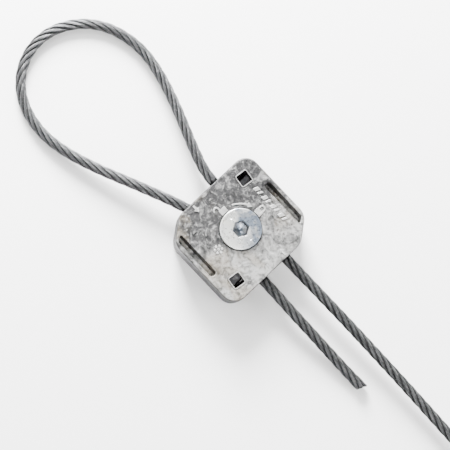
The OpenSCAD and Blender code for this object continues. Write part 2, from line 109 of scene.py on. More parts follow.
@dataclass
class Shade:
    """A small builder of node materials.

    Attributes:
        name: Name of the material.
        metallic: How metallic the surface is.
    """

    name: str
    metallic: float = 0.0
    material: bpy.types.Material = field(init=False)

    def __post_init__(self) -> None:
        """Make the material with its shader and its object coordinates."""
        self.material = bpy.data.materials.new(self.name)
        self.material.use_nodes = True
        self.tree = self.material.node_tree
        self.shader = self.tree.nodes["Principled BSDF"]
        self.shader.inputs["Metallic"].default_value = self.metallic
        self.place = self.tree.nodes.new("ShaderNodeTexCoord").outputs["Object"]
        self.facing = self.tree.nodes.new("ShaderNodeNewGeometry").outputs["Normal"]

    def node(self, kind: str, **settings: object) -> bpy.types.Node:
        """Add a node.

        Args:
            kind: Node type without its ShaderNode prefix.
            settings: Node properties to set.

        Returns:
            The new node.
        """
        made = self.tree.nodes.new("ShaderNode" + kind)
        for key, value in settings.items():
            setattr(made, key, value)
        return made

    def link(self, source: bpy.types.NodeSocket, target: bpy.types.NodeSocket) -> None:
        """Join two sockets."""
        self.tree.links.new(source, target)

    def stretched(self, scale: tuple[float, float, float]) -> bpy.types.NodeSocket:
        """Give object coordinates that are scaled along each axis."""
        made = self.node("Mapping")
        made.inputs["Scale"].default_value = scale
        self.link(self.place, made.inputs["Vector"])
        return made.outputs["Vector"]

    def noise(self, size_mm: float, detail: float = 4.0, rough: float = 0.5, distort: float = 0.0,
              where: bpy.types.NodeSocket | None = None) -> bpy.types.NodeSocket:
        """Add a noise pattern.

        Args:
            size_mm: Size of its largest features.
            detail: Number of finer octaves.
            rough: Share that each finer octave keeps.
            distort: How far it is warped.
            where: Coordinates, or none for plain object coordinates.

        Returns:
            The noise value.
        """
        made = self.node("TexNoise")
        made.inputs["Scale"].default_value = 1 / (size_mm * MM)
        made.inputs["Detail"].default_value = detail
        made.inputs["Roughness"].default_value = rough
        made.inputs["Distortion"].default_value = distort
        self.link(where or self.place, made.inputs["Vector"])
        return made.outputs["Fac"]

    def ramp(self, value: bpy.types.NodeSocket, low: float, high: float, out_low: float = 0.0,
             out_high: float = 1.0, smooth: bool = True) -> bpy.types.NodeSocket:
        """Map a value's range low..high to out_low..out_high, and clamp it."""
        made = self.node("MapRange", interpolation_type="SMOOTHSTEP" if smooth else "LINEAR")
        made.inputs["From Min"].default_value = low
        made.inputs["From Max"].default_value = high
        made.inputs["To Min"].default_value = out_low
        made.inputs["To Max"].default_value = out_high
        self.link(value, made.inputs["Value"])
        return made.outputs["Result"]

    def math(self, operation: str, a: object, b: object) -> bpy.types.NodeSocket:
        """Combine two values, each a socket or a number."""
        made = self.node("Math", operation=operation)
        for at, value in enumerate((a, b)):
            if isinstance(value, (int, float)):
                made.inputs[at].default_value = value
            else:
                self.link(value, made.inputs[at])
        return made.outputs["Value"]

    def mix(self, share: bpy.types.NodeSocket, a: object, b: object) -> bpy.types.NodeSocket:
        """Mix two colours, each a socket or three numbers."""
        made = self.node("Mix", data_type="RGBA")
        self.link(share, made.inputs["Factor"])
        for socket, value in ((made.inputs[6], a), (made.inputs[7], b)):
            if isinstance(value, tuple):
                socket.default_value = (*value, 1)
            else:
                self.link(value, socket)
        return made.outputs[2]

    def across(self, way: tuple[float, float], half_mm: float, most: float) -> bpy.types.NodeSocket:
        """Grade a value evenly from one side of the piece to the other.

        Args:
            way: Direction in X and Y in which it grows.
            half_mm: Distance from the middle at which it reaches its limit.
            most: Its highest value, and with a minus sign its lowest.

        Returns:
            The value.
        """
        made = self.node("VectorMath", operation="DOT_PRODUCT")
        made.inputs[1].default_value = (*way, 0)
        self.link(self.place, made.inputs[0])
        return self.ramp(made.outputs["Value"], -half_mm * MM, half_mm * MM, -most, most, smooth=False)

    def part(self, vector: bpy.types.NodeSocket, axis: int) -> bpy.types.NodeSocket:
        """Take one number out of a vector."""
        made = self.node("SeparateXYZ")
        self.link(vector, made.inputs[0])
        return made.outputs[axis]

    def attribute(self, name: str) -> bpy.types.NodeSocket:
        """Read a number that the mesh carries."""
        return self.node("Attribute", attribute_name=name).outputs["Fac"]

    def hollow(self, reach_mm: float, strength: float = 0.85) -> bpy.types.NodeSocket:
        """Find the corners and hollows of the shape, for painted shade.

        Args:
            reach_mm: How far from a wall a corner still shows.
            strength: Value in the deepest corner.

        Returns:
            A share that is 0 in the open.
        """
        made = self.node("AmbientOcclusion", samples=8)
        made.inputs["Distance"].default_value = reach_mm * MM
        return self.ramp(made.outputs["AO"], 0.88, 0.40, 0.0, strength)

    def bump(self, height: bpy.types.NodeSocket, depth_mm: float, strength: float = 1.0,
             under: bpy.types.NodeSocket | None = None) -> bpy.types.NodeSocket:
        """Raise the surface by a height pattern, over another bump if there is one."""
        made = self.node("Bump")
        made.inputs["Strength"].default_value = strength
        made.inputs["Distance"].default_value = depth_mm * MM
        self.link(height, made.inputs["Height"])
        if under is not None:
            self.link(under, made.inputs["Normal"])
        return made.outputs["Normal"]

    def finish(self, colour: bpy.types.NodeSocket, roughness: bpy.types.NodeSocket,
               normal: bpy.types.NodeSocket | None = None) -> bpy.types.Material:
        """Join the patterns to the shader.

        Returns:
            The finished material.
        """
        self.link(colour, self.shader.inputs["Base Color"])
        self.link(roughness, self.shader.inputs["Roughness"])
        if normal is not None:
            self.link(normal, self.shader.inputs["Normal"])
        return self.material


# ---------------------------------------------------------------------------------------------
# Finishes
# ---------------------------------------------------------------------------------------------

@dataclass(frozen=True)
class CastZinc:
    """Raw die-cast zinc: mottled grey with flow marks, fine grain and a warm stain.

    Attributes:
        light: Colour of the bare skin.
        middle: Colour of its cloudy parts.
        dark: Colour of stains and folds, and of the painted shade at the marks' feet and on upright faces.
        shiny: Colour of bright flecks, and of the painted highlight on the marks' tops.
        warm: Colour of the tan stain.
        side: Colour of the painted shade on the outer walls.
        hollow_shade: Colour of the painted shade in corners and hollows.
        face: Height of the housing's face, from which the marks rise.
        reach: Half the housing's size, over which the colour grades.
    """

    light: tuple[float, float, float] = (0.33, 0.33, 0.322)
    middle: tuple[float, float, float] = (0.048, 0.048, 0.049)
    dark: tuple[float, float, float] = (0.014, 0.014, 0.0145)
    shiny: tuple[float, float, float] = (0.46, 0.46, 0.45)
    warm: tuple[float, float, float] = (0.20, 0.175, 0.135)
    side: tuple[float, float, float] = (0.012, 0.012, 0.0125)
    hollow_shade: tuple[float, float, float] = (0.02, 0.02, 0.022)
    face: float = 20.0
    reach: float = 26.0

    def mottle(self, s: Shade, swirl: bpy.types.NodeSocket, curl: bpy.types.NodeSocket,
               grain: bpy.types.NodeSocket) -> bpy.types.NodeSocket:
        """Colour the skin that the metal's flow leaves.

        Args:
            s: The material.
            swirl: Broad flow pattern.
            curl: Finer flow pattern.
            grain: Finest pattern.

        Returns:
            The colour.
        """
        cloud = s.noise(22, detail=3, distort=0.8)
        tone = s.math("ADD", s.math("MULTIPLY", swirl, 0.5), s.math("MULTIPLY", cloud, 0.5))
        tone = s.math("ADD", tone, s.across((1, -0.55), self.reach, 0.13))
        colour = s.mix(s.ramp(tone, 0.40, 0.62), self.middle, self.light)
        stain = s.ramp(s.noise(14, detail=6, rough=0.6, distort=1.4), 0.52, 0.64, 0.0, 0.75)
        colour = s.mix(stain, colour, self.dark)
        tan = s.math("ADD", s.noise(19, detail=4, distort=0.6), s.across((0.5, -1), self.reach, 0.08))
        colour = s.mix(s.ramp(tan, 0.50, 0.68, 0.0, 0.6), colour, self.warm)
        colour = s.mix(s.ramp(curl, 0.50, 0.34, 0.0, 0.55), colour, self.dark)
        colour = s.mix(s.ramp(curl, 0.53, 0.70, 0.0, 0.4), colour, self.shiny)
        colour = s.mix(s.ramp(grain, 0.48, 0.32, 0.0, 0.45), colour, self.dark)
        return s.mix(s.ramp(grain, 0.54, 0.70, 0.0, 0.3), colour, self.shiny)

    def painted_light_and_wear(self, s: Shade, colour: bpy.types.NodeSocket) -> bpy.types.NodeSocket:
        """Paint shade on the marks' feet, on upright and outer walls and in the hollows, and paint a
        highlight on the marks' tops.

        Args:
            s: The material.
            colour: The colour of the skin.

        Returns:
            The colour with the painted light and shade.
        """
        height = s.part(s.place, 2)
        # Painted shade: a dark band round the sides of the raised marks and rims, just above the face.
        foot_shade = s.math("MULTIPLY", s.ramp(height, (self.face + 0.01) * MM, (self.face + 0.04) * MM),
                      s.ramp(height, (self.face + 0.22) * MM, (self.face + 0.17) * MM))
        colour = s.mix(s.math("MULTIPLY", foot_shade, 0.8), colour, self.dark)
        # Painted highlight on the tops of the raised marks and rims.
        painted_top_highlight = s.ramp(height, (self.face + 0.20) * MM, (self.face + 0.25) * MM, 0.0, 0.7)
        colour = s.mix(painted_top_highlight, colour, self.shiny)
        # Painted shade on upright faces.
        wall = s.ramp(s.math("ABSOLUTE", s.part(s.facing, 2), 0.0), 0.6, 0.15, 0.0, 0.2)
        colour = s.mix(wall, colour, self.dark)
        # Painted shade on the outer walls below the face.
        below = s.ramp(height, (self.face - 0.08) * MM, (self.face - 0.5) * MM, 0.0, 0.92)
        outside = s.math("MULTIPLY", below, s.ramp(s.attribute("outside"), 0.3, 0.7))
        colour = s.mix(outside, colour, self.side)
        # Painted shade in corners and hollows.
        return s.mix(s.hollow(1.2, 0.6), colour, self.hollow_shade)

    def make(self) -> bpy.types.Material:
        """Build the material.

        Returns:
            The node material.
        """
        s = Shade("cast_zinc", metallic=0.72)
        swirl = s.noise(8, detail=7, rough=0.68, distort=2.2)
        curl = s.noise(4.4, detail=4, rough=0.55, distort=1.6)
        grain = s.noise(1.5, detail=4, rough=0.7)
        colour = self.painted_light_and_wear(s, self.mottle(s, swirl, curl, grain))
        rough = s.ramp(s.math("ADD", s.math("MULTIPLY", grain, 0.5), s.math("MULTIPLY", swirl, 0.5)),
                       0.3, 0.7, 0.34, 0.56)
        normal = s.bump(swirl, 0.6, 0.7)
        normal = s.bump(curl, 0.22, 0.8, normal)
        normal = s.bump(grain, 0.13, 0.8, normal)
        return s.finish(colour, rough, normal)


@dataclass(frozen=True)
class BlueZincPlate:
    """Bright zinc plating with a bluish passivation and fine turning marks.

    Attributes:
        blue: Colour of the thick film.
        pale: Colour of the thin film.
        straw: Colour of its yellowish patches.
        scuffed: Colour of fine scuffs.
        depth: Colour of the painted shade in the socket's hollows.
        shadow: Colour of the socket's walls.
        socket: Radius round the axis that holds the socket.
        ring_scale: Number of turning rings in a metre, as the pattern counts them.
    """

    blue: tuple[float, float, float] = (0.22, 0.26, 0.32)
    pale: tuple[float, float, float] = (0.80, 0.81, 0.79)
    straw: tuple[float, float, float] = (0.78, 0.76, 0.68)
    scuffed: tuple[float, float, float] = (0.30, 0.32, 0.35)
    depth: tuple[float, float, float] = (0.05, 0.055, 0.065)
    shadow: tuple[float, float, float] = (0.03, 0.032, 0.038)
    socket: float = 5.2
    ring_scale: float = 520

    def make(self) -> bpy.types.Material:
        """Build the material.

        Returns:
            The node material.
        """
        s = Shade("blue_zinc_plate", metallic=0.92)
        cloud = s.noise(11, detail=3, distort=0.7)
        scuff = s.noise(1.1, detail=5, rough=0.7)
        cloud = s.math("ADD", cloud, s.across((-0.35, -1), 11, 0.14))
        colour = s.mix(s.ramp(cloud, 0.38, 0.62), self.blue, self.pale)
        colour = s.mix(s.ramp(s.noise(7, detail=2), 0.55, 0.75, 0.0, 0.5), colour, self.straw)
        colour = s.mix(s.ramp(scuff, 0.55, 0.70, 0.0, 0.45), colour, self.scuffed)
        spread = s.node("VectorMath", operation="MULTIPLY")
        spread.inputs[1].default_value = (1, 1, 0)
        s.link(s.place, spread.inputs[0])
        reach = s.node("VectorMath", operation="LENGTH")
        s.link(spread.outputs["Vector"], reach.inputs[0])
        # Painted shade in the socket: darker in its hollows and on its upright walls.
        within = s.ramp(reach.outputs["Value"], self.socket * 1.02 * MM, self.socket * 0.98 * MM)
        upright = s.ramp(s.math("ABSOLUTE", s.part(s.facing, 2), 0.0), 0.5, 0.2, 0.0, 0.9)
        deep = s.hollow(5)
        hollow_shade = s.math("MULTIPLY", within, s.math("MULTIPLY", deep, 0.75))
        colour = s.mix(hollow_shade, colour, self.depth)
        colour = s.mix(s.math("MULTIPLY", within, upright), colour, self.shadow)
        rings = s.node("TexWave", wave_type="RINGS", rings_direction="Z")
        rings.inputs["Scale"].default_value = self.ring_scale
        rings.inputs["Distortion"].default_value = 0.6
        rings.inputs["Detail"].default_value = 2
        s.link(s.place, rings.inputs["Vector"])
        rough = s.ramp(scuff, 0.3, 0.7, 0.24, 0.42)
        normal = s.bump(rings.outputs["Fac"], 0.012, 0.5)
        normal = s.bump(scuff, 0.03, 0.5, normal)
        return s.finish(colour, rough, normal)


@dataclass(frozen=True)
class PhosphatedSteel:
    """Hardened steel with a dark phosphate coat."""

    black: tuple[float, float, float] = (0.045, 0.046, 0.05)
    worn: tuple[float, float, float] = (0.20, 0.20, 0.21)

    def make(self) -> bpy.types.Material:
        """Build the material.

        Returns:
            The node material.
        """
        s = Shade("phosphated_steel", metallic=0.6)
        crystals = s.noise(0.4, detail=4, rough=0.6)
        painted_light_and_wear = s.noise(4, detail=4, distort=0.5)
        colour = s.mix(s.ramp(painted_light_and_wear, 0.5, 0.75), self.black, self.worn)
        colour = s.mix(s.ramp(crystals, 0.55, 0.7, 0.0, 0.3), colour, (0.16, 0.16, 0.17))
        return s.finish(colour, s.ramp(crystals, 0.3, 0.7, 0.42, 0.62), s.bump(crystals, 0.03, 0.6))


@dataclass(frozen=True)
class DrawnSteel:
    """Bare drawn or stamped spring steel."""

    bright: tuple[float, float, float] = (0.56, 0.56, 0.57)
    dull: tuple[float, float, float] = (0.30, 0.30, 0.31)

    def make(self) -> bpy.types.Material:
        """Build the material.

        Returns:
            The node material.
        """
        s = Shade("drawn_steel", metallic=0.95)
        streak = s.noise(1.2, detail=4, where=s.stretched((1, 6, 6)))
        colour = s.mix(s.ramp(streak, 0.35, 0.65), self.dull, self.bright)
        return s.finish(colour, s.ramp(streak, 0.3, 0.7, 0.25, 0.42), s.bump(streak, 0.01, 0.6))


@dataclass(frozen=True)
class RopeWire:
    """Galvanised rope wires, each wire its own grey, with painted highlights on the crowns and painted shade
    on the flanks and in the grooves.
    """

    # Colours of the painted highlight on the wire crowns and of the painted shade on their flanks and in the
    # grooves.
    crown: tuple[float, float, float] = (0.135, 0.137, 0.14)
    flank: tuple[float, float, float] = (0.015, 0.0155, 0.016)
    groove: tuple[float, float, float] = (0.006, 0.006, 0.006)

    def make(self) -> bpy.types.Material:
        """Build the material.

        Returns:
            The node material.
        """
        s = Shade("rope_wire", metallic=0.88)
        height = s.attribute("height")
        tone = s.attribute("tone")
        dust = s.noise(1.5, detail=4, rough=0.65)
        # Painted highlight and shade by height: crowns light, flanks dark.
        colour = s.mix(s.ramp(height, 0.72, 0.98), self.flank, self.crown)
        colour = s.mix(s.ramp(tone, 0.0, 1.0, 0.0, 0.85, smooth=False), colour, (0.03, 0.03, 0.032))
        colour = s.mix(s.ramp(dust, 0.5, 0.8, 0.0, 0.35), colour, (0.36, 0.36, 0.355))
        # Painted shade in the grooves between the wires.
        colour = s.mix(s.ramp(height, 0.78, 0.55), colour, self.groove)
        rough = s.ramp(dust, 0.3, 0.7, 0.30, 0.48)
        return s.finish(colour, rough, s.bump(dust, 0.03, 0.4))


@dataclass(frozen=True)
class PressedAlloy:
    """Aluminium that a press has formed, satin with fine draw lines."""

    pale: tuple[float, float, float] = (0.74, 0.75, 0.76)
    grey: tuple[float, float, float] = (0.50, 0.51, 0.53)

    def make(self) -> bpy.types.Material:
        """Build the material.

        Returns:
            The node material.
        """
        s = Shade("pressed_alloy", metallic=0.92)
        lines = s.noise(1.4, detail=4, where=s.stretched((0.12, 1, 1)))
        dents = s.noise(3.5, detail=3)
        colour = s.mix(s.ramp(lines, 0.35, 0.68), self.grey, self.pale)
        return s.finish(colour, s.ramp(dents, 0.35, 0.65, 0.28, 0.45), s.bump(lines, 0.02, 0.6))


@dataclass(frozen=True)
class SealRubber:
    """Black seal rubber with a matt moulded skin."""

    black: tuple[float, float, float] = (0.018, 0.018, 0.019)
    bloom: tuple[float, float, float] = (0.05, 0.05, 0.05)

    def make(self) -> bpy.types.Material:
        """Build the material.

        Returns:
            The node material.
        """
        s = Shade("seal_rubber")
        skin = s.noise(0.5, detail=3)
        colour = s.mix(s.ramp(s.noise(5), 0.4, 0.7), self.black, self.bloom)
        return s.finish(colour, s.ramp(skin, 0.3, 0.7, 0.5, 0.68), s.bump(skin, 0.01, 0.5))


@dataclass(frozen=True)
class StudioFloor:
    """Pale matt studio sheet."""

    white: tuple[float, float, float] = (0.93, 0.93, 0.93)

    def make(self) -> bpy.types.Material:
        """Build the material.

        Returns:
            The node material.
        """
        s = Shade("studio_floor")
        cloud = s.noise(220, detail=2)
        colour = s.mix(s.ramp(cloud, 0.3, 0.7, 0.0, 0.2), self.white, (0.90, 0.90, 0.90))
        return s.finish(colour, s.ramp(cloud, 0.3, 0.7, 0.85, 0.95))


class Finish(Enum):
    """Every finish of the grip, with the material slot that it stands for."""

    CASTING = (CastZinc(), "zinc_casting")
    PLATED = (BlueZincPlate(), "plated_steel")
    DARK = (PhosphatedSteel(), "dark_steel")
    SPRING = (DrawnSteel(), "spring_steel")
    ROPE = (RopeWire(), "wire_rope")
    FERRULE = (PressedAlloy(), "soft_alloy")
    SEAL = (SealRubber(), "seal_rubber")

    def material(self) -> bpy.types.Material:
        """Give the finish's material, made on first use."""
        if self not in _MADE:
            _MADE[self] = self.value[0].make()
        return _MADE[self]

    @property
    def slot(self) -> str:
        """Name of the record's material slot."""
        return self.value[1]


_MADE: dict[Finish, bpy.types.Material] = {}


# ---------------------------------------------------------------------------------------------
# Meshes
# ---------------------------------------------------------------------------------------------

@dataclass
class Outline:
    """A closed outline, counter-clockwise, whose corners are rounded by arcs.

    Attributes:
        points: Corners in millimetres.
        radii: One corner radius for all, or one for each.
        steps: Segments in each arc.
    """

    points: list[tuple[float, float]]
    radii: float | list[float]
    steps: int = 8

    def ring(self, offset: float = 0.0) -> np.ndarray:
        """Give the outline's points, moved outwards by an offset.

        Args:
            offset: Distance outwards, negative for inwards.

        Returns:
            An array of points, the same number at every offset.
        """
        corners = np.array(self.points, float)
        count = len(corners)
        radii = self.radii if isinstance(self.radii, list) else [self.radii] * count
        ahead = np.roll(corners, -1, 0) - corners
        ahead /= np.linalg.norm(ahead, axis=1)[:, None]
        out = np.stack([ahead[:, 1], -ahead[:, 0]], 1)
        ring = []
        for i in range(count):
            before, after = ahead[i - 1], ahead[i]
            n0, n1 = out[i - 1], out[i]
            corner = corners[i] + (n0 + n1) * offset / (1 + n0 @ n1)
            turn = math.atan2(before[0] * after[1] - before[1] * after[0], before @ after)
            radius = max(radii[i] + offset * math.copysign(1, turn), 0.02)
            reach = radius * math.tan(abs(turn) / 2)
            inward = -math.copysign(1, turn)
            centre = corner - before * reach + n0 * radius * inward
            for k in range(self.steps + 1):
                angle = turn * (k / self.steps if self.steps else 0.5)
                spin = np.array([[math.cos(angle), -math.sin(angle)], [math.sin(angle), math.cos(angle)]])
                ring.append(centre - spin @ n0 * radius * inward)
        return np.array(ring)

    def turned(self, degrees: float, to: tuple[float, float]) -> "Outline":
        """Give this outline turned about its origin and moved."""
        c, s = math.cos(math.radians(degrees)), math.sin(math.radians(degrees))
        moved = [(x * c - y * s + to[0], x * s + y * c + to[1]) for x, y in self.points]
        return Outline(moved, self.radii, self.steps)


def arc(radius: float, angles: Iterable[float], centre: tuple[float, float] = (0, 0)
        ) -> list[tuple[float, float]]:
    """List the points of an arc at each angle."""
    return [(centre[0] + radius * math.cos(a), centre[1] + radius * math.sin(a)) for a in angles]


def disc(radius: float, at: tuple[float, float] = (0, 0), segments: int = 72) -> Outline:
    """Give a round outline as a many-sided one with tiny corner arcs.

    Args:
        radius: Radius of the disc.
        at: Its centre.
        segments: Number of sides.

    Returns:
        The outline.
    """
    return Outline(arc(radius, [TAU * i / segments for i in range(segments)], at), 0.05, 0)


def mesh_object(name: str, verts: np.ndarray, faces: list, matrix: Matrix | None = None) -> bpy.types.Object:
    """Make an object from points in millimetres.

    Args:
        name: Name of the piece.
        verts: Points, one row each.
        faces: Lists of point numbers.
        matrix: A turn or move, in metres, that is applied to the mesh.

    Returns:
        The new object, linked to the scene.
    """
    mesh = bpy.data.meshes.new(name)
    mesh.from_pydata((np.asarray(verts) * MM).tolist(), [], faces)
    if matrix is not None:
        mesh.transform(matrix)
    mesh.update()
    made = bpy.data.objects.new(name, mesh)
    bpy.context.scene.collection.objects.link(made)
    return made


def store(obj: bpy.types.Object, label: str, values: np.ndarray) -> None:
    """Store a number on each of a mesh's points, for its finish to read."""
    obj.data.attributes.new(label, "FLOAT", "POINT").data.foreach_set("value", values)


def tube_faces(rings: int, sides: int, start: int = 0, closed: bool = False) -> list[list[int]]:
    """List the faces between rings of points, with end caps unless the rings close on themselves."""
    faces = []
    for i in range(rings if closed else rings - 1):
        a, b = start + i * sides, start + (i + 1) % rings * sides
        faces += [[a + k, a + (k + 1) % sides, b + (k + 1) % sides, b + k] for k in range(sides)]
    if not closed:
        faces.append([start + k for k in reversed(range(sides))])
        faces.append([start + (rings - 1) * sides + k for k in range(sides)])
    return faces


def loft(name: str, outline: Outline, levels: list[tuple[float, float]], matrix: Matrix | None = None
         ) -> bpy.types.Object:
    """Make a solid of an outline that is offset at each height.

    Args:
        name: Name of the piece.
        outline: The outline.
        levels: Height and offset of each ring, from the bottom up.
        matrix: A turn or move that is applied to the mesh.

    Returns:
        The solid.
    """
    rings = [outline.ring(offset) for _, offset in levels]
    sides = len(rings[0])
    verts = np.vstack([np.c_[ring, np.full(sides, z)] for ring, (z, _) in zip(rings, levels)])
    return mesh_object(name, verts, tube_faces(len(levels), sides), matrix)


def lathe(name: str, profile: list[tuple[float, float]], segments: int = 96, matrix: Matrix | None = None
          ) -> bpy.types.Object:
    """Turn a profile about Z into a solid.

    Args:
        name: Name of the piece.
        profile: Radius and height of each point, from the bottom up. Both ends are capped.
        segments: Segments round the axis.
        matrix: A turn or move that is applied to the mesh.

    Returns:
        The solid.
    """
    angle = TAU * np.arange(segments) / segments
    verts = np.vstack([np.c_[r * np.cos(angle), r * np.sin(angle), np.full(segments, z)] for r, z in profile])
    return mesh_object(name, verts, tube_faces(len(profile), segments), matrix)


def rounded_top(height: float, radius: float, steps: int = 5) -> list[tuple[float, float]]:
    """List the levels that round a solid's upper edge off."""
    turns = [math.radians(90 * k / steps) for k in range(steps + 1)]
    return [(height - radius + radius * math.sin(a), -radius + radius * math.cos(a)) for a in turns]


def rounded_foot(height: float, radius: float, steps: int = 5) -> list[tuple[float, float]]:
    """List the levels that round a solid's lower edge off."""
    turns = [math.radians(90 - 90 * k / steps) for k in range(steps + 1)]
    return [(height + radius - radius * math.sin(a), -radius + radius * math.cos(a)) for a in turns]


def flared_mouth(face: float, radius: float, steps: int = 4) -> list[tuple[float, float]]:
    """List the levels that make a cutter leave a rounded lip where it meets a face."""
    turns = [math.radians(80 * k / steps) for k in range(steps + 1)]
    lip = [(face - radius + radius * math.sin(a), radius - radius * math.cos(a)) for a in turns]
    return lip + [(face + THROUGH, lip[-1][1])]


def moved(x: float, y: float, z: float = 0.0) -> Matrix:
    """Give the matrix that moves a shape to a place in millimetres."""
    return Matrix.Translation(Vector((x, y, z)) * MM)


def along_x(x: float, y: float, z: float) -> Matrix:
    """Give the matrix that lays a shape's Z along X and moves it to a place in millimetres."""
    return moved(x, y, z) @ Matrix.Rotation(math.pi / 2, 4, "Y")


def apply_modifiers(obj: bpy.types.Object) -> None:
    """Bake an object's modifiers into its mesh."""
    graph = bpy.context.evaluated_depsgraph_get()
    graph.update()
    made = bpy.data.meshes.new_from_object(obj.evaluated_get(graph), depsgraph=graph)
    old = obj.data
    obj.modifiers.clear()
    obj.data = made
    made.name = obj.name
    bpy.data.meshes.remove(old)


def combine(obj: bpy.types.Object, others: list[bpy.types.Object], operation: str = "DIFFERENCE") -> None:
    """Cut other solids out of one or weld them to it, and remove them.

    Args:
        obj: The solid that is changed.
        others: The solids to cut or weld, one after another.
        operation: DIFFERENCE or UNION.
    """
    for other in others:
        modifier = obj.modifiers.new("solid", "BOOLEAN")
        modifier.operation = operation
        modifier.solver = "EXACT"
        modifier.object = other
        apply_modifiers(obj)
        bpy.data.objects.remove(other)


def smooth(obj: bpy.types.Object, limit: float = 32.0) -> None:
    """Shade a mesh smooth, with sharp edges past an angle, and keep its flat faces flat.

    Args:
        obj: The piece.
        limit: Angle in degrees past which an edge stays sharp.
    """
    made = bmesh.new()
    made.from_mesh(obj.data)
    bmesh.ops.remove_doubles(made, verts=made.verts, dist=2e-6)
    bmesh.ops.dissolve_degenerate(made, edges=made.edges, dist=1e-6)
    bmesh.ops.recalc_face_normals(made, faces=made.faces)
    for face in made.faces:
        face.smooth = True
    for edge in made.edges:
        edge.smooth = len(edge.link_faces) == 2 and edge.calc_face_angle(0) < math.radians(limit)
    made.to_mesh(obj.data)
    made.free()
    modifier = obj.modifiers.new("normals", "WEIGHTED_NORMAL")
    modifier.keep_sharp = True
    apply_modifiers(obj)


def dress(obj: bpy.types.Object, finish: Finish, body: Body, *nodes: str) -> bpy.types.Object:
    """Give a piece its finish, its body and the CAD nodes that it stands for.

    Args:
        obj: The piece.
        finish: Its finish.
        body: The body that it moves with.
        nodes: CAD nodes that it replaces.

    Returns:
        The piece.
    """
    obj.data.materials.clear()
    obj.data.materials.append(finish.material())
    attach(obj, body.value)
    if nodes:
        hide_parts(*nodes)
    LOG.info("%s: %d faces on %s", obj.name, len(obj.data.polygons), body.value)
    return obj


# ---------------------------------------------------------------------------------------------
# Studio
# ---------------------------------------------------------------------------------------------

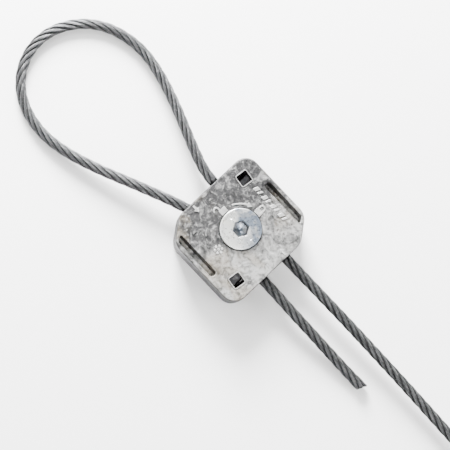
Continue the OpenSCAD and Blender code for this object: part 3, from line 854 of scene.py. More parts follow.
@dataclass
class Studio:
    """Camera, lights and floor.

    Attributes:
        distance: Distance from the camera to the housing.
        tilt: Angle of the view from straight down, towards -Y.
        roll: Angle of the X axis below the picture's horizontal.
        field_width: Width that the picture shows at the housing's face.
        shift: Place of the housing's face centre in the picture, right and up.
        horizon: Brightness of the light tent at its foot.
        zenith: Brightness of the light tent overhead.
        shade: Share of that brightness at the picture's lower side.
    """

    distance: float = 900.0
    tilt: float = 8.6
    roll: float = 46.6
    field_width: float = 245.25
    shift: tuple[float, float] = (8.47, -2.32)
    horizon: float = 4.6
    zenith: float = 0.42
    shade: float = 0.1

    def axes(self) -> tuple[Vector, Vector, Vector]:
        """Give the camera's right, up and back directions."""
        tilt, roll = math.radians(self.tilt), math.radians(self.roll)
        level = Vector((0, math.cos(tilt), math.sin(tilt)))
        along = Vector((1, 0, 0))
        right = math.cos(roll) * along + math.sin(roll) * level
        up = math.cos(roll) * level - math.sin(roll) * along
        return right, up, right.cross(up)

    def add_camera(self, face: float) -> None:
        """Add the camera.

        Args:
            face: Height of the housing's face.
        """
        right, up, back = self.axes()
        data = bpy.data.cameras.new("camera")
        data.sensor_width = 36
        data.lens = 36 * self.distance / self.field_width
        data.clip_start = 0.05
        aim = Vector((0, 0, face)) - right * self.shift[0] - up * self.shift[1]
        turn = Matrix((right, up, back)).transposed().to_4x4()
        camera = bpy.data.objects.new("camera", data)
        camera.matrix_world = Matrix.Translation((aim + back * self.distance) * MM) @ turn
        bpy.context.scene.collection.objects.link(camera)
        bpy.context.scene.camera = camera

    def add_area(self, name: str, spot: Vector, size: float, power: float,
                 colour: tuple[float, float, float] = (1, 1, 1)) -> None:
        """Add a soft lamp that looks at the grip.

        Args:
            name: Name of the lamp.
            spot: Its place in millimetres.
            size: Its side in millimetres.
            power: Its power in watts.
            colour: Its colour.
        """
        data = bpy.data.lights.new(name, "AREA")
        data.shape = "SQUARE"
        data.size = size * MM
        data.energy = power
        data.color = colour
        lamp = bpy.data.objects.new(name, data)
        lamp.location = spot * MM
        lamp.rotation_euler = spot.to_track_quat("Z", "Y").to_euler()
        bpy.context.scene.collection.objects.link(lamp)

    def make_sky(self) -> bpy.types.World:
        """Make a tent of light that is brighter round the horizon than overhead.

        Returns:
            The world.
        """
        world = bpy.data.worlds.new("studio")
        world.use_nodes = True
        nodes, links = world.node_tree.nodes, world.node_tree.links
        way = nodes.new("ShaderNodeTexCoord").outputs["Generated"]
        split = nodes.new("ShaderNodeSeparateXYZ")
        links.new(way, split.inputs["Vector"])
        fade = nodes.new("ShaderNodeMapRange")
        fade.interpolation_type = "SMOOTHSTEP"
        for key, value in (("From Min", 0.2), ("From Max", 0.9),
                           ("To Min", self.horizon), ("To Max", self.zenith)):
            fade.inputs[key].default_value = value
        links.new(split.outputs["Z"], fade.inputs["Value"])
        lean = nodes.new("ShaderNodeVectorMath")
        lean.operation = "DOT_PRODUCT"
        lean.inputs[1].default_value = self.axes()[1]
        links.new(way, lean.inputs[0])
        side = nodes.new("ShaderNodeMapRange")
        for key, value in (("From Min", -0.6), ("From Max", 0.6), ("To Min", self.shade), ("To Max", 1.0)):
            side.inputs[key].default_value = value
        links.new(lean.outputs["Value"], side.inputs["Value"])
        level = nodes.new("ShaderNodeMath")
        level.operation = "MULTIPLY"
        links.new(fade.outputs["Result"], level.inputs[0])
        links.new(side.outputs["Result"], level.inputs[1])
        sky = nodes["Background"]
        sky.inputs["Color"].default_value = (1, 1, 1, 1)
        links.new(level.outputs["Value"], sky.inputs["Strength"])
        return world

    def build(self, face: float) -> None:
        """Build the whole studio.

        Args:
            face: Height of the housing's face.
        """
        self.add_camera(face)
        right, up, back = self.axes()
        self.add_area("key", back * 330 + up * 820 - right * 120, 360, 80)
        self.add_area("overhead", back * 1150 - up * 210 + right * 150, 320, 10, (1.0, 0.99, 0.97))
        self.add_area("top", back * 700 + up * 560 - right * 160, 200, 3)
        self.add_area("side", back * 300 - right * 800 - up * 60, 420, 5, (0.95, 0.97, 1.0))
        self.add_area("fill", back * 300 - up * 200 + right * 820, 500, 7)
        bpy.context.scene.world = self.make_sky()
        half = 3000
        floor = mesh_object("floor", np.array([[-half, -half, -0.02], [half, -half, -0.02],
                                               [half, half, -0.02], [-half, half, -0.02]]), [[0, 1, 2, 3]])
        floor.data.materials.append(StudioFloor().make())


# ---------------------------------------------------------------------------------------------
# Wire rope
# ---------------------------------------------------------------------------------------------

def smooth_path(route: np.ndarray, step: float = 1.5, passes: int = 10) -> np.ndarray:
    """Lay a smooth path through a route's points.

    Args:
        route: The route's points, in millimetres.
        step: Distance between the path's points.
        passes: Rounds of smoothing, which keep both ends and their directions.

    Returns:
        Evenly spaced points.
    """
    padded = np.vstack([2 * route[0] - route[1], route, 2 * route[-1] - route[-2]])
    fine = []
    for i in range(1, len(padded) - 2):
        p0, p1, p2, p3 = padded[i - 1:i + 3]
        t = np.linspace(0, 1, 17)[:-1, None]
        fine.append(0.5 * (2 * p1 + (p2 - p0) * t + (2 * p0 - 5 * p1 + 4 * p2 - p3) * t ** 2
                           + (3 * p1 - p0 - 3 * p2 + p3) * t ** 3))
    path = np.vstack([*fine, route[-1:]])
    for again in range(2):
        walked = np.r_[0, np.cumsum(np.linalg.norm(np.diff(path, axis=0), axis=1))]
        marks = np.linspace(0, walked[-1], max(2, round(walked[-1] / step) + 1))
        path = np.stack([np.interp(marks, walked, path[:, k]) for k in range(3)], 1)
        if again == 0 and len(path) > 8:
            for _ in range(passes):
                path[2:-2] = (path[1:-3] + 2 * path[2:-2] + path[3:-1]) / 4
    return path


def path_length(path: np.ndarray) -> float:
    """Give a path's length."""
    return float(np.linalg.norm(np.diff(path, axis=0), axis=1).sum())


@dataclass
class WireRope:
    """Six strands laid right-handed round a core strand.

    Attributes:
        diameter: Diameter of the rope.
        lay: Length in which a strand goes once round the rope.
        wire_lay: Length in which a wire goes once round its strand, the other way.
        strands: Number of outer strands.
        wires: Number of wires seen on a strand.
        per_wire: Number of points round each wire.
    """

    diameter: float = 6.0
    lay: float = 42.0
    wire_lay: float = 17.0
    strands: int = 6
    wires: int = 12
    per_wire: int = 4

    def frames(self, path: np.ndarray) -> tuple[np.ndarray, np.ndarray, np.ndarray]:
        """Give the direction of a path and two level crossways directions at each point."""
        ahead = np.gradient(path, axis=0)
        ahead /= np.linalg.norm(ahead, axis=1)[:, None]
        side = np.cross([0, 0, 1], ahead)
        side /= np.linalg.norm(side, axis=1)[:, None]
        return ahead, side, np.cross(ahead, side)

    def strand(self, path: np.ndarray, start: float, number: int, splay: np.ndarray
               ) -> tuple[np.ndarray, np.ndarray, np.ndarray]:
        """Shape one outer strand.

        Args:
            path: The rope's centreline.
            start: Distance along the whole rope at which the path starts.
            number: Which strand it is.
            splay: How far the strands stand off at each point, 1 where they lie tight.

        Returns:
            The strand's points, their height as a share of the rope's radius, and each wire's tone.
        """
        radius = self.diameter / 6
        _, side, up = self.frames(path)
        along = start + np.r_[0, np.cumsum(np.linalg.norm(np.diff(path, axis=0), axis=1))]
        turn = TAU * (number / self.strands + along / self.lay)
        out = np.cos(turn)[:, None] * side + np.sin(turn)[:, None] * up
        middle = path + out * (2 * radius * splay)[:, None]
        ahead = np.gradient(middle, axis=0)
        ahead /= np.linalg.norm(ahead, axis=1)[:, None]
        out = out - ahead * (out * ahead).sum(1)[:, None]
        out /= np.linalg.norm(out, axis=1)[:, None]
        across = np.cross(ahead, out)
        sides = self.wires * self.per_wire
        lobe = np.array([1.0, 0.94, 0.74, 0.94] * self.wires) * radius
        angle = TAU * np.arange(sides) / sides
        spin = angle[None, :] - (TAU * along / self.wire_lay)[:, None]
        verts = (middle[:, None, :] + lobe[None, :, None] * (
            np.cos(spin)[:, :, None] * out[:, None, :] + np.sin(spin)[:, :, None] * across[:, None, :]))
        height = np.linalg.norm(verts - path[:, None, :], axis=2) / (3 * radius)
        # Points between the wires count lower, so that the finish paints shade in the grooves.
        height = height * np.where(lobe < 0.9 * radius, 0.80, 1.0)[None, :]
        random = np.random.default_rng(100 + number)
        tone = np.repeat(random.random(self.wires), self.per_wire)
        tone = np.broadcast_to(np.roll(tone, 1), height.shape)
        return verts.reshape(-1, 3), height.ravel(), tone.ravel()

    def build(self, name: str, path: np.ndarray, start: float, cut_slope: float = 0.0) -> bpy.types.Object:
        """Make a stretch of rope.

        Args:
            name: Name of the piece.
            path: Its centreline in millimetres.
            start: Distance along the whole rope at which it starts.
            cut_slope: Slope of a bare cut at its far end, with the strands a little splayed.

        Returns:
            The rope's mesh, which carries each point's height and tone.
        """
        rings = len(path)
        from_end = path_length(path) * (1 - np.linspace(0, 1, rings))
        splay = 1 + (0.16 * np.exp(-from_end / 3.5) if cut_slope else 0 * from_end)
        verts, faces, heights, tones = [], [], [], []
        base = 0
        sides = self.wires * self.per_wire
        ahead, side, _ = self.frames(path)
        for number in range(self.strands):
            points, height, tone = self.strand(path, start, number, splay)
            if cut_slope:
                last = points[-sides:]
                slant = (last - path[-1]) @ side[-1] * cut_slope
                uneven = ahead[-1] * 0.25 * math.sin(5.0 * number)
                points[-sides:] = last + slant[:, None] * ahead[-1] + uneven
            verts.append(points)
            heights.append(height)
            tones.append(tone)
            faces += tube_faces(rings, sides, base)
            base += len(points)
        core_sides = 12
        angle = TAU * np.arange(core_sides) / core_sides
        _, side, up = self.frames(path)
        core = path[:, None, :] + self.diameter / 6 * (
            np.cos(angle)[None, :, None] * side[:, None, :] + np.sin(angle)[None, :, None] * up[:, None, :])
        verts.append(core.reshape(-1, 3))
        heights.append(np.full(rings * core_sides, 0.4))
        tones.append(np.full(rings * core_sides, 0.5))
        faces += tube_faces(rings, core_sides, base)
        made = mesh_object(name, np.vstack(verts), faces)
        for label, values in (("height", heights), ("tone", tones)):
            store(made, label, np.concatenate(values))
        for polygon in made.data.polygons:
            polygon.use_smooth = len(polygon.vertices) == 4
        return made


@dataclass
class RopeRun:
    """The whole rope, from the ferrule through both channels to the bare tail end."""

    rope: WireRope = field(default_factory=WireRope)
    channel_y: float = 8.8
    channel_z: float = 10.0
    bend_x: float = -9.0
    bend: float = 57.0
    bend_turn: float = 18.5
    lead: float = 6.0
    line_end: tuple[float, float, float] = (170, 8, 6.3)

    def __post_init__(self) -> None:
        """Work out where the rope leaves the channels."""
        self.half = box_mm("casting_body")[1][0]
        turn = math.radians(self.bend_turn)
        self.way_out = np.array([math.cos(turn), math.sin(turn), 0])
        self.mouth = np.array([self.bend_x - self.bend * math.sin(turn),
                               -self.channel_y - self.bend * (1 - math.cos(turn)), self.channel_z])

    def line_route(self) -> np.ndarray:
        """Give the standing line's route, from the housing to the ferrule."""
        y, z = self.channel_y, self.channel_z
        return np.array([
            (self.half, y, z), (34, y, z), (48, 8.9, 9.7), (62, 9, 9.3), (76, 9.1, 8.9),
            (90, 9.1, 8.4), (104, 9, 8), (118, 8.9, 7.5), (132, 8.7, 7.1), (146, 8.4, 6.7),
            (158, 8.1, 6.4), (166, *self.line_end[1:]), self.line_end])

    def loop_route(self) -> np.ndarray:
        """Give the loop's route, from the line's channel round to the tail's channel."""
        y, z = self.channel_y, self.channel_z
        return np.array([
            (-self.half, y, z), (-32, y, z), (-39, 9.9, 9.7), (-46, 12.2, 9.2), (-54, 15.2, 8.5),
            (-62, 18.4, 7.8), (-70, 21.6, 7), (-78, 24.6, 6.1), (-86, 27.2, 5.3), (-94, 29.4, 4.5),
            (-102, 31, 3.9), (-110, 31.7, 3.4), (-118, 31, 3.1), (-126, 29, 3), (-133, 26, 3),
            (-139, 22, 3), (-144, 17, 3), (-148, 11.2, 3), (-151, 5, 3), (-152.6, -2, 3),
            (-152.8, -9, 3), (-151.4, -16, 3), (-148.6, -22.4, 3), (-144.6, -28.2, 3), (-139.4, -33, 3),
            (-133, -36.8, 3), (-126, -39.3, 3), (-118, -40.7, 3.1), (-110, -40.8, 3.4), (-101, -39.5, 4),
            (-92, -37.2, 4.8), (-83, -34.2, 5.6), (-74, -30.7, 6.5), (-65, -26.9, 7.4), (-56, -23, 8.3),
            (-47, -19.3, 9.2), (-40, -16.4, 9.7),
            self.mouth - self.lead * self.way_out, self.mouth])

    def tail_route(self) -> np.ndarray:
        """Give the tail's route, from the housing to its cut end."""
        y, z = -self.channel_y, self.channel_z
        return np.array([
            (self.half, y, z), (34, y, z), (45, -9, 9.5), (56, -9.1, 8.5), (67, -9.1, 7.2),
            (78, -9.1, 5.8), (89, -9.1, 4.5), (98, -9.1, 3.7), (105, -9, 3.35), (110, -9, 3.3)])

    def tail_channel_route(self) -> np.ndarray:
        """Give the rope's way through the tail's channel, with its bend in the entry funnel."""
        turns = [math.radians(self.bend_turn * (1 - k / 6)) for k in range(7)]
        bend = [(self.bend_x - self.bend * math.sin(a), -self.channel_y - self.bend * (1 - math.cos(a)),
                 self.channel_z) for a in turns]
        return np.array([*bend, (5, -self.channel_y, self.channel_z), (18, -self.channel_y, self.channel_z),
                         (self.half, -self.channel_y, self.channel_z)])

    def build(self, eye: "RopeEye") -> None:
        """Args:
            eye: The eye at the line's far end, whose pieces lie on the standing line. Not used.
        """
        line = smooth_path(self.line_route())[::-1]
        channel = smooth_path(np.array([(self.half, self.channel_y, self.channel_z), (0, self.channel_y,
                              self.channel_z), (-self.half, self.channel_y, self.channel_z)]))
        loop = smooth_path(self.loop_route())
        tail_channel = smooth_path(self.tail_channel_route())
        tail = smooth_path(self.tail_route())
        start = 0.0
        made = {}
        for name, path, slope in (("standing_line_rope", line, 0), ("line_channel_rope", channel, 0),
                                  ("loop_rope", loop, 0), ("tail_channel_rope", tail_channel, 0),
                                  ("tail_rope", tail, 0.45)):
            made[name] = self.rope.build(name, path, start, slope)
            start += path_length(path)
        for name, node in (("standing_line_rope", "standing_line"), ("line_channel_rope", "line_in_channel"),
                           ("loop_rope", "rope_loop"), ("tail_channel_rope", "tail_in_channel"),
                           ("tail_rope", "rope_tail")):
            dress(made[name], Finish.ROPE, Body.HOUSING, node)


@dataclass
class RopeEye:
    """Ferrule, thimble and the rope round it, at the standing line's far end."""

    rope: WireRope = field(default_factory=WireRope)
    ferrule_radius: float = 6.3
    reach: float = 26.0
    thimble_radius: float = 7.0
    thimble_thick: float = 1.5
    leg_gap: float = 3.1
    pieces: list[bpy.types.Object] = field(default_factory=list)

    def __post_init__(self) -> None:
        """Take the eye's place from the CAD ferrule."""
        low, high = box_mm("eye_ferrule")
        self.start, self.end = low[0], high[0]
        self.y, self.z = (low[1] + high[1]) / 2, (low[2] + high[2]) / 2
        self.turn = self.thimble_radius + self.thimble_thick + 3.3
        reach = math.hypot(self.reach, self.leg_gap)
        self.slope = math.asin(self.turn / reach) - math.atan2(self.leg_gap, self.reach)
        self.leg = math.sqrt(reach ** 2 - self.turn ** 2)

    def centreline(self, first: float) -> np.ndarray:
        """Give the rope's line round the thimble, from a distance along one leg to the other."""
        ahead, out = math.cos(self.slope), math.sin(self.slope)
        route = []
        for s in np.linspace(first, self.leg, 5)[:-1]:
            route.append((self.end + s * ahead, self.y - self.leg_gap - s * out))
        sweep = math.pi / 2 + self.slope
        route += arc(self.turn, np.linspace(-sweep, sweep, 25), (self.end + self.reach, self.y))
        for s in np.linspace(self.leg, first, 5)[1:]:
            route.append((self.end + s * ahead, self.y + self.leg_gap + s * out))
        return np.array([(x, y, self.z) for x, y in route])

    def make_ferrule(self) -> bpy.types.Object:
        """Press the ferrule: a barrel with rounded ends and two seams."""
        length, r = self.end - self.start, self.ferrule_radius
        fillet = 1.9
        nose = [(r - fillet + fillet * math.sin(a), fillet - fillet * math.cos(a))
                for a in np.linspace(0, math.pi / 2, 8)]
        profile = [(3.25, 0.9), (3.25, 0.0), *nose, *((r, length * k / 8) for k in range(1, 8)),
                   *((q, length - z) for q, z in reversed(nose)), (4.6, length), (4.2, length - 0.7)]
        made = lathe("eye_ferrule_barrel", profile, 120)
        for vertex in made.data.vertices:
            x, y, _ = vertex.co / MM
            seam = math.exp(-(math.atan2(abs(y), abs(x)) / 0.05) ** 2)
            if math.hypot(x, y) > r - 1.0:
                stretch = 1 + (0.12 * seam - 0.12) / r
                vertex.co.x *= stretch
                vertex.co.y *= stretch
        made.data.transform(along_x(self.start, self.y, self.z))
        smooth(made)
        return dress(made, Finish.FERRULE, Body.HOUSING, "eye_ferrule")

    def make_thimble(self) -> bpy.types.Object:
        """Form the thimble: a C-shaped strip bent to a drop."""
        path = smooth_path(self.centreline(4.5), 1.0, 2)
        _, side, up = self.rope.frames(path)
        inner, outer = 3.3, 4.45
        opening = math.radians(84)
        groove = arc(inner, np.linspace(opening, TAU - opening, 22))
        back = arc(outer, np.linspace(TAU - opening, opening, 22))
        lips = [((inner + outer) / 2 * math.cos(a) + 0.45, (inner + outer) / 2 * math.sin(a))
                for a in (TAU - opening, opening)]
        section = groove + [lips[0]] + back + [lips[1]]
        points = np.array(section)
        verts = (path[:, None, :] + points[None, :, 0, None] * -side[:, None, :]
                 + np.clip(points[None, :, 1, None], -4.1, 4.1) * up[:, None, :])
        made = mesh_object("eye_thimble_strip", verts.reshape(-1, 3), tube_faces(len(path), len(section)))
        smooth(made, 50)
        return dress(made, Finish.PLATED, Body.HOUSING, "eye_thimble")

    def build(self) -> None:
        """Build the eye's three pieces."""
        path = smooth_path(self.centreline(1.2), 1.5, 3)
        rope = self.rope.build("eye_rope_turn", path, 0.0)
        dress(rope, Finish.ROPE, Body.HOUSING, "eye_rope")
        self.pieces += [self.make_ferrule(), self.make_thimble(), rope]


# ---------------------------------------------------------------------------------------------
# Housing
# ---------------------------------------------------------------------------------------------

def turned_copies(make: Callable[[Matrix], list[bpy.types.Object]]) -> list[bpy.types.Object]:
    """Make a shape for the line's side and for the tail's side.

    Args:
        make: Function of the side's matrix that gives a list of solids.

    Returns:
        The solids of both sides.
    """
    return [solid for side in Side for solid in make(side.matrix())]


@dataclass
class Housing:
    """The die-cast body, with its channels, pockets, slots, windows and raised marks."""

    corner: float = 8.0
    cut: tuple[float, float] = (10.0, 13.0)
    cut_corner: float = 9.0
    edge: float = 0.9
    rope_y: float = 8.8
    bore: float = 3.35
    bend: float = 57.0
    bend_x: float = 9.0
    taper: float = 7.5
    wall: float = 21.5
    pocket_y: float = 9.6
    pocket_half: float = 5.8
    pocket_front: float = 12.45
    slot_end: float = 7.9
    slot_wall: float = 2.3
    slot_size: tuple[float, float, float] = (29.0, 3.8, 8.0)
    window: float = 6.3
    window_end: float = 9.7
    rim: float = 0.9
    mark: float = 0.4
    head_gap: float = 11.8
    seat: float = 17.2
    pin_x: float = 26.5
    stop_at: float = 9.3

    def __post_init__(self) -> None:
        """Take the housing's size from its CAD node."""
        low, high = box_mm("line_end_plug")
        self.hx = -low[0]
        low, high = box_mm("casting_body")
        self.hy = high[1]
        self.top = high[2] - self.mark
        self.mid = self.top / 2

    def wall_at(self, x: float) -> float:
        """Give the height of a pocket's sloping wall."""
        return self.wall - x * math.tan(math.radians(self.taper))

    def outline(self) -> Outline:
        """Give the housing's outline."""
        x, y = self.hx, self.hy
        length, width = self.cut
        points = [(x, -y), (x, y - width), (x - length, y), (-x, y), (-x, width - y), (length - x, -y)]
        return Outline(points, [self.corner, self.cut_corner, self.cut_corner] * 2, 10)

    def make_blank(self) -> bpy.types.Object:
        """Cast the plain block, with rounded edges and a faint parting line round its side."""
        line = [(self.mid + z, out) for z, out in ((-0.35, 0.0), (-0.12, 0.10), (0.12, 0.10), (0.35, 0.0))]
        levels = rounded_foot(0.0, self.edge * 0.8) + line + rounded_top(self.top, self.edge)
        return loft("housing_casting", self.outline(), levels)

    def bore_cutters(self, matrix: Matrix) -> list[bpy.types.Object]:
        """Shape the rope's bore, with a rounded lip where it comes out of the plain end."""
        lip = [(self.bore + out, -self.hx - 1 + z)
               for z, out in ((0.0, 0.7), (1.0, 0.7), (1.25, 0.35), (1.8, 0.08))]
        profile = lip + [(self.bore, -self.hx + 1.2), (self.bore, self.hx + 1)]
        place = matrix @ along_x(0, self.rope_y, self.mid)
        return [lathe("bore", profile, 64, place)]

    def funnel_cutters(self, matrix: Matrix) -> list[bpy.types.Object]:
        """Shape the entry that widens outwards, so that the rope may leave at an angle."""
        stations = [(x, 0.0) for x in np.linspace(self.bend_x, self.hx - 0.9, 12)]
        stations += [(self.hx - 0.9 * math.cos(a), 0.75 * (1 - math.cos(a)))
                     for a in (math.radians(30), math.radians(60), math.radians(85))]
        stations.append((self.hx + 1, 0.75))
        half_turn = [math.pi * k / 20 - math.pi / 2 for k in range(21)]
        verts = []
        for x, lip in stations:
            r = self.bore + 0.02 + lip
            shift = self.bend - math.sqrt(self.bend ** 2 - (x - self.bend_x) ** 2)
            verts += [(x, y, z) for y, z in arc(r, half_turn, (self.rope_y + shift, self.mid))]
            verts += [(x, self.rope_y - r * math.cos(a), self.mid - r * math.sin(a)) for a in half_turn]
        return [mesh_object("funnel", np.array(verts), tube_faces(len(stations), 42), matrix)]

    def pocket_cutters(self, matrix: Matrix) -> list[bpy.types.Object]:
        """Shape a wedge's pocket and the hole of the pin that holds its plug."""
        left = -self.hx - 1
        points = [(left, self.pocket_y), (self.pocket_front, self.pocket_y),
                  (self.pocket_front, self.wall_at(self.pocket_front)), (left, self.wall_at(left))]
        span = [(self.mid - self.pocket_half, 0.0), (self.mid + self.pocket_half, 0.0)]
        hole = moved(-self.pin_x, self.pocket_y + 10)
        drill = [(1.72, -1.0), (1.72, 0.0), (1.52, 0.25), (1.52, 17.4), (0.3, 18.0)]
        return [loft("pocket", Outline(points, [0.3, 0.8, 0.8, 0.3], 4), span, matrix),
                lathe("pin_hole", drill, 40, matrix @ hole)]

    def window_outline(self) -> Outline:
        """Give the window's turned square."""
        x = self.window_end - self.hx
        y = self.wall_at(x) - self.window / 2 / math.cos(math.radians(self.taper))
        s = self.window / 2
        return Outline([(s, -s), (s, s), (-s, s), (-s, -s)], 0.55, 4).turned(-self.taper, (x, y))

    def window_cutters(self, matrix: Matrix) -> list[bpy.types.Object]:
        """Shape a window with a rounded lip."""
        levels = [(self.mid, 0.0)] + flared_mouth(self.top + 0.22, 0.3)
        return [loft("window", self.window_outline(), levels, matrix)]

    def window_rims(self, matrix: Matrix) -> list[bpy.types.Object]:
        """Raise the low rim round a window."""
        levels = [(self.top - 0.3, self.rim + 0.25), (self.top + 0.05, self.rim + 0.1),
                  (self.top + 0.2, self.rim - 0.15), (self.top + 0.24, self.rim - 0.4)]
        return [loft("rim", self.window_outline(), levels, matrix)]

    def slot_cutters(self, matrix: Matrix) -> list[bpy.types.Object]:
        """Shape a slot with a rounded floor and lip."""
        length, width, depth = self.slot_size
        high = self.hy - self.slot_wall
        low = high - width
        right = self.hx - self.slot_end
        points = [(right - length, low), (right, low), (right - width * self.cut[0] / self.cut[1], high),
                  (right - length, high)]
        levels = rounded_foot(self.top - depth, 1.1) + flared_mouth(self.top, 0.35)
        return [loft("slot", Outline(points, [1.4, 0.8, 1.4, 1.7], 6), levels, matrix)]

    def spindle_cutters(self) -> list[bpy.types.Object]:
        """Shape the stepped bore of the spindle, the stop pin's hole and the recess in the back."""
        bore = [(8.4, -1.0), (8.4, 0.0), (8.0, 0.4), (8.0, 2.4), (4.05, 2.4), (4.05, 4.4), (6.05, 4.4),
                (6.05, self.seat), (self.head_gap, self.seat), (self.head_gap, self.top - 0.4),
                (self.head_gap + 0.12, self.top - 0.12), (self.head_gap + 0.4, self.top),
                (self.head_gap + 0.4, self.top + 1)]
        pin = moved(-self.stop_at, 0)
        return [lathe("spindle_bore", bore, 128), lathe("stop_hole", [(1.27, 10.2), (1.27, 18)], 32, pin)]

    def ejector_cutters(self) -> list[bpy.types.Object]:
        """Shape the shallow round marks that the mould's ejectors leave."""
        marks = []
        for x, y, r in ((20.9, 20.3, 2.3), (-22.1, -21.4, 2.3), (-22.9, 0.4, 2.7)):
            profile = [(r, self.top - 0.12), (r + 0.25, self.top + 0.1), (r + 0.3, self.top + 0.5)]
            marks.append(lathe("ejector", profile, 40, moved(x, y)))
        return marks

    def raised(self, outline: Outline, height: float | None = None, matrix: Matrix | None = None
               ) -> bpy.types.Object:
        """Raise an outline from the face, with drafted sides."""
        h = height or self.mark
        levels = [(self.top - 0.25, 0.10), (self.top + h * 0.05, 0.05), (self.top + h * 0.8, 0.0),
                  (self.top + h, -0.10)]
        return loft("mark", outline, levels, matrix)

    def padlock(self, open_side: bool) -> list[bpy.types.Object]:
        """Raise a padlock sign beside the spindle's head."""
        start = 12.0
        shift = -2.6 if open_side else 0.0
        case = Outline([(2.15, start), (2.15, start + 3.3), (-2.15, start + 3.3), (-2.15, start)], 0.3, 3)
        arcs = [math.radians(k * 15) for k in range(13)]
        feet = (start + 2.9, start + 4.3 if open_side else start + 2.9)
        outer = arc(1.9, arcs, (shift, start + 4.5))
        inner = arc(1.0, reversed(arcs), (shift, start + 4.5))
        bow = [(shift + 1.9, feet[0]), *outer, (shift - 1.9, feet[1]), (shift - 1.0, feet[1]), *inner,
               (shift + 1.0, feet[0])]
        turn = Matrix.Rotation(math.pi / 2 if open_side else 0, 4, "Z")
        return [self.raised(case, None, turn), self.raised(Outline(bow, 0.05, 0), self.mark * 0.96, turn)]

    def arrow(self, x: float, y: float, way: int) -> bpy.types.Object:
        """Raise an arrow that shows which way the rope goes in."""
        points = [(-2.4, -0.55), (0, -0.55), (0, -1.7), (2.3, 0), (0, 1.7), (0, 0.55), (-2.4, 0.55)]
        return self.raised(Outline(points, 0.15, 2).turned(0 if way > 0 else 180, (x, y)))

    def turn_arrow(self) -> bpy.types.Object:
        """Raise the arc arrow that shows which way the spindle locks."""
        r = self.head_gap + 2.2
        shaft = [math.radians(a) for a in range(120, 157, 4)]
        tip, base = math.radians(108), math.radians(119)
        points = [*arc(r + 0.42, shaft), *arc(r - 0.42, reversed(shaft)),
                  *arc(r - 1.3, [base]), *arc(r, [tip]), *arc(r + 1.5, [base])]
        return self.raised(Outline(points, 0.05, 0))

    def slanted_bars(self) -> list[bpy.types.Object]:
        """Raise a plain row of slanted bars beside the line's slot."""
        lean = 1.25
        bars = []
        for i, width in enumerate((2.2, 1.2, 2.2, 1.2, 2.2, 1.2, 2.2, 1.2)):
            x = -11.6 + i * 3.25
            low, high = 20.3, 23.2
            points = [(x, low), (x + width, low), (x + width + lean, high), (x + lean, high)]
            bars.append(self.raised(Outline(points, 0.25, 2), self.mark * 0.8))
        return bars

    def rope_sign(self) -> list[bpy.types.Object]:
        """Raise the sign of a rope's section: six strands round a core."""
        core = (-0.2, -16.5)
        spots = [core, *arc(1.95, [TAU * k / 6 for k in range(6)], core)]
        return [self.raised(disc(0.78, spot, 20), self.mark * 0.9) for spot in spots]

    def mark_outside(self, obj: bpy.types.Object) -> None:
        """Store on each vertex whether it lies on the housing's outer wall, where the finish paints shade.

        Args:
            obj: The piece to mark.
        """
        start = self.outline().ring()
        edge = np.roll(start, -1, 0) - start
        place = np.array([vertex.co[:2] for vertex in obj.data.vertices])[:, None] / MM
        share = ((place - start) * edge).sum(2) / (edge ** 2).sum(1)
        gap = np.linalg.norm(place - start - share.clip(0, 1)[..., None] * edge, axis=2).min(1)
        store(obj, "outside", (1.6 - gap).clip(0, 1))

    def build(self) -> None:
        """Build the housing, its plugs and pins."""
        body = self.make_blank()
        rims = turned_copies(self.window_rims)
        marks = [*self.padlock(False), *self.padlock(True), self.turn_arrow(), *self.slanted_bars(),
                 *self.rope_sign(), self.arrow(self.hx - 3.9, self.rope_y - 0.5, -1),
                 self.arrow(-self.hx + 4, -self.rope_y - 1.3, 1)]
        combine(body, rims + marks, "UNION")
        cutters = [*turned_copies(self.bore_cutters), *turned_copies(self.funnel_cutters),
                   *turned_copies(self.pocket_cutters), *turned_copies(self.window_cutters),
                   *turned_copies(self.slot_cutters), *self.spindle_cutters(), *self.ejector_cutters()]
        combine(body, cutters)
        smooth(body)
        self.mark_outside(body)
        dress(body, Finish.CASTING, Body.HOUSING, "casting_body")
        for side in Side:
            name = side.name.lower()
            plug = self.make_plug(name, side.matrix())
            self.mark_outside(plug)
            dress(plug, Finish.CASTING, Body.HOUSING, f"{name}_end_plug")
            dress(self.make_pin(name, side.matrix()), Finish.DARK, Body.HOUSING, f"{name}_plug_pin")

    def make_plug(self, name: str, matrix: Matrix) -> bpy.types.Object:
        """Shape the plug that closes a wedge's pocket."""
        inner, gap = -self.hx + 4, 0.05
        points = [(-self.hx, self.pocket_y + gap), (inner, self.pocket_y + gap),
                  (inner, self.wall_at(inner) - gap), (-self.hx, self.wall_at(-self.hx) - 2 * gap)]
        low, high = self.mid - self.pocket_half + gap, self.mid + self.pocket_half - gap
        levels = [(low, -0.25), (low + 0.25, 0.0), (high - 0.25, 0.0), (high, -0.25)]
        plug = loft(f"{name}_pocket_plug", Outline(points, 0.3, 3), levels)
        hole = moved(-self.pin_x, self.pocket_y + 10)
        channel = along_x(0, self.rope_y, self.mid)
        rope = lathe("bore", [(self.bore, -self.hx - 1), (self.bore, 0)], 64, channel)
        combine(plug, [rope, lathe("hole", [(1.52, 0), (1.52, self.top)], 40, hole)])
        smooth(plug)
        plug.data.transform(matrix)
        return plug

    def make_pin(self, name: str, matrix: Matrix) -> bpy.types.Object:
        """Turn the pin that holds a plug."""
        hole = moved(-self.pin_x, self.pocket_y + 10)
        pin = lathe(f"{name}_plug_dowel", [(0.4, 0.35), (1.1, 0.3), (1.5, 0.7), (1.5, 17.0), (1.1, 17.4),
                                           (0.4, 17.4)], 40, matrix @ hole)
        smooth(pin)
        return pin


# ---------------------------------------------------------------------------------------------
# Lock spindle
# ---------------------------------------------------------------------------------------------

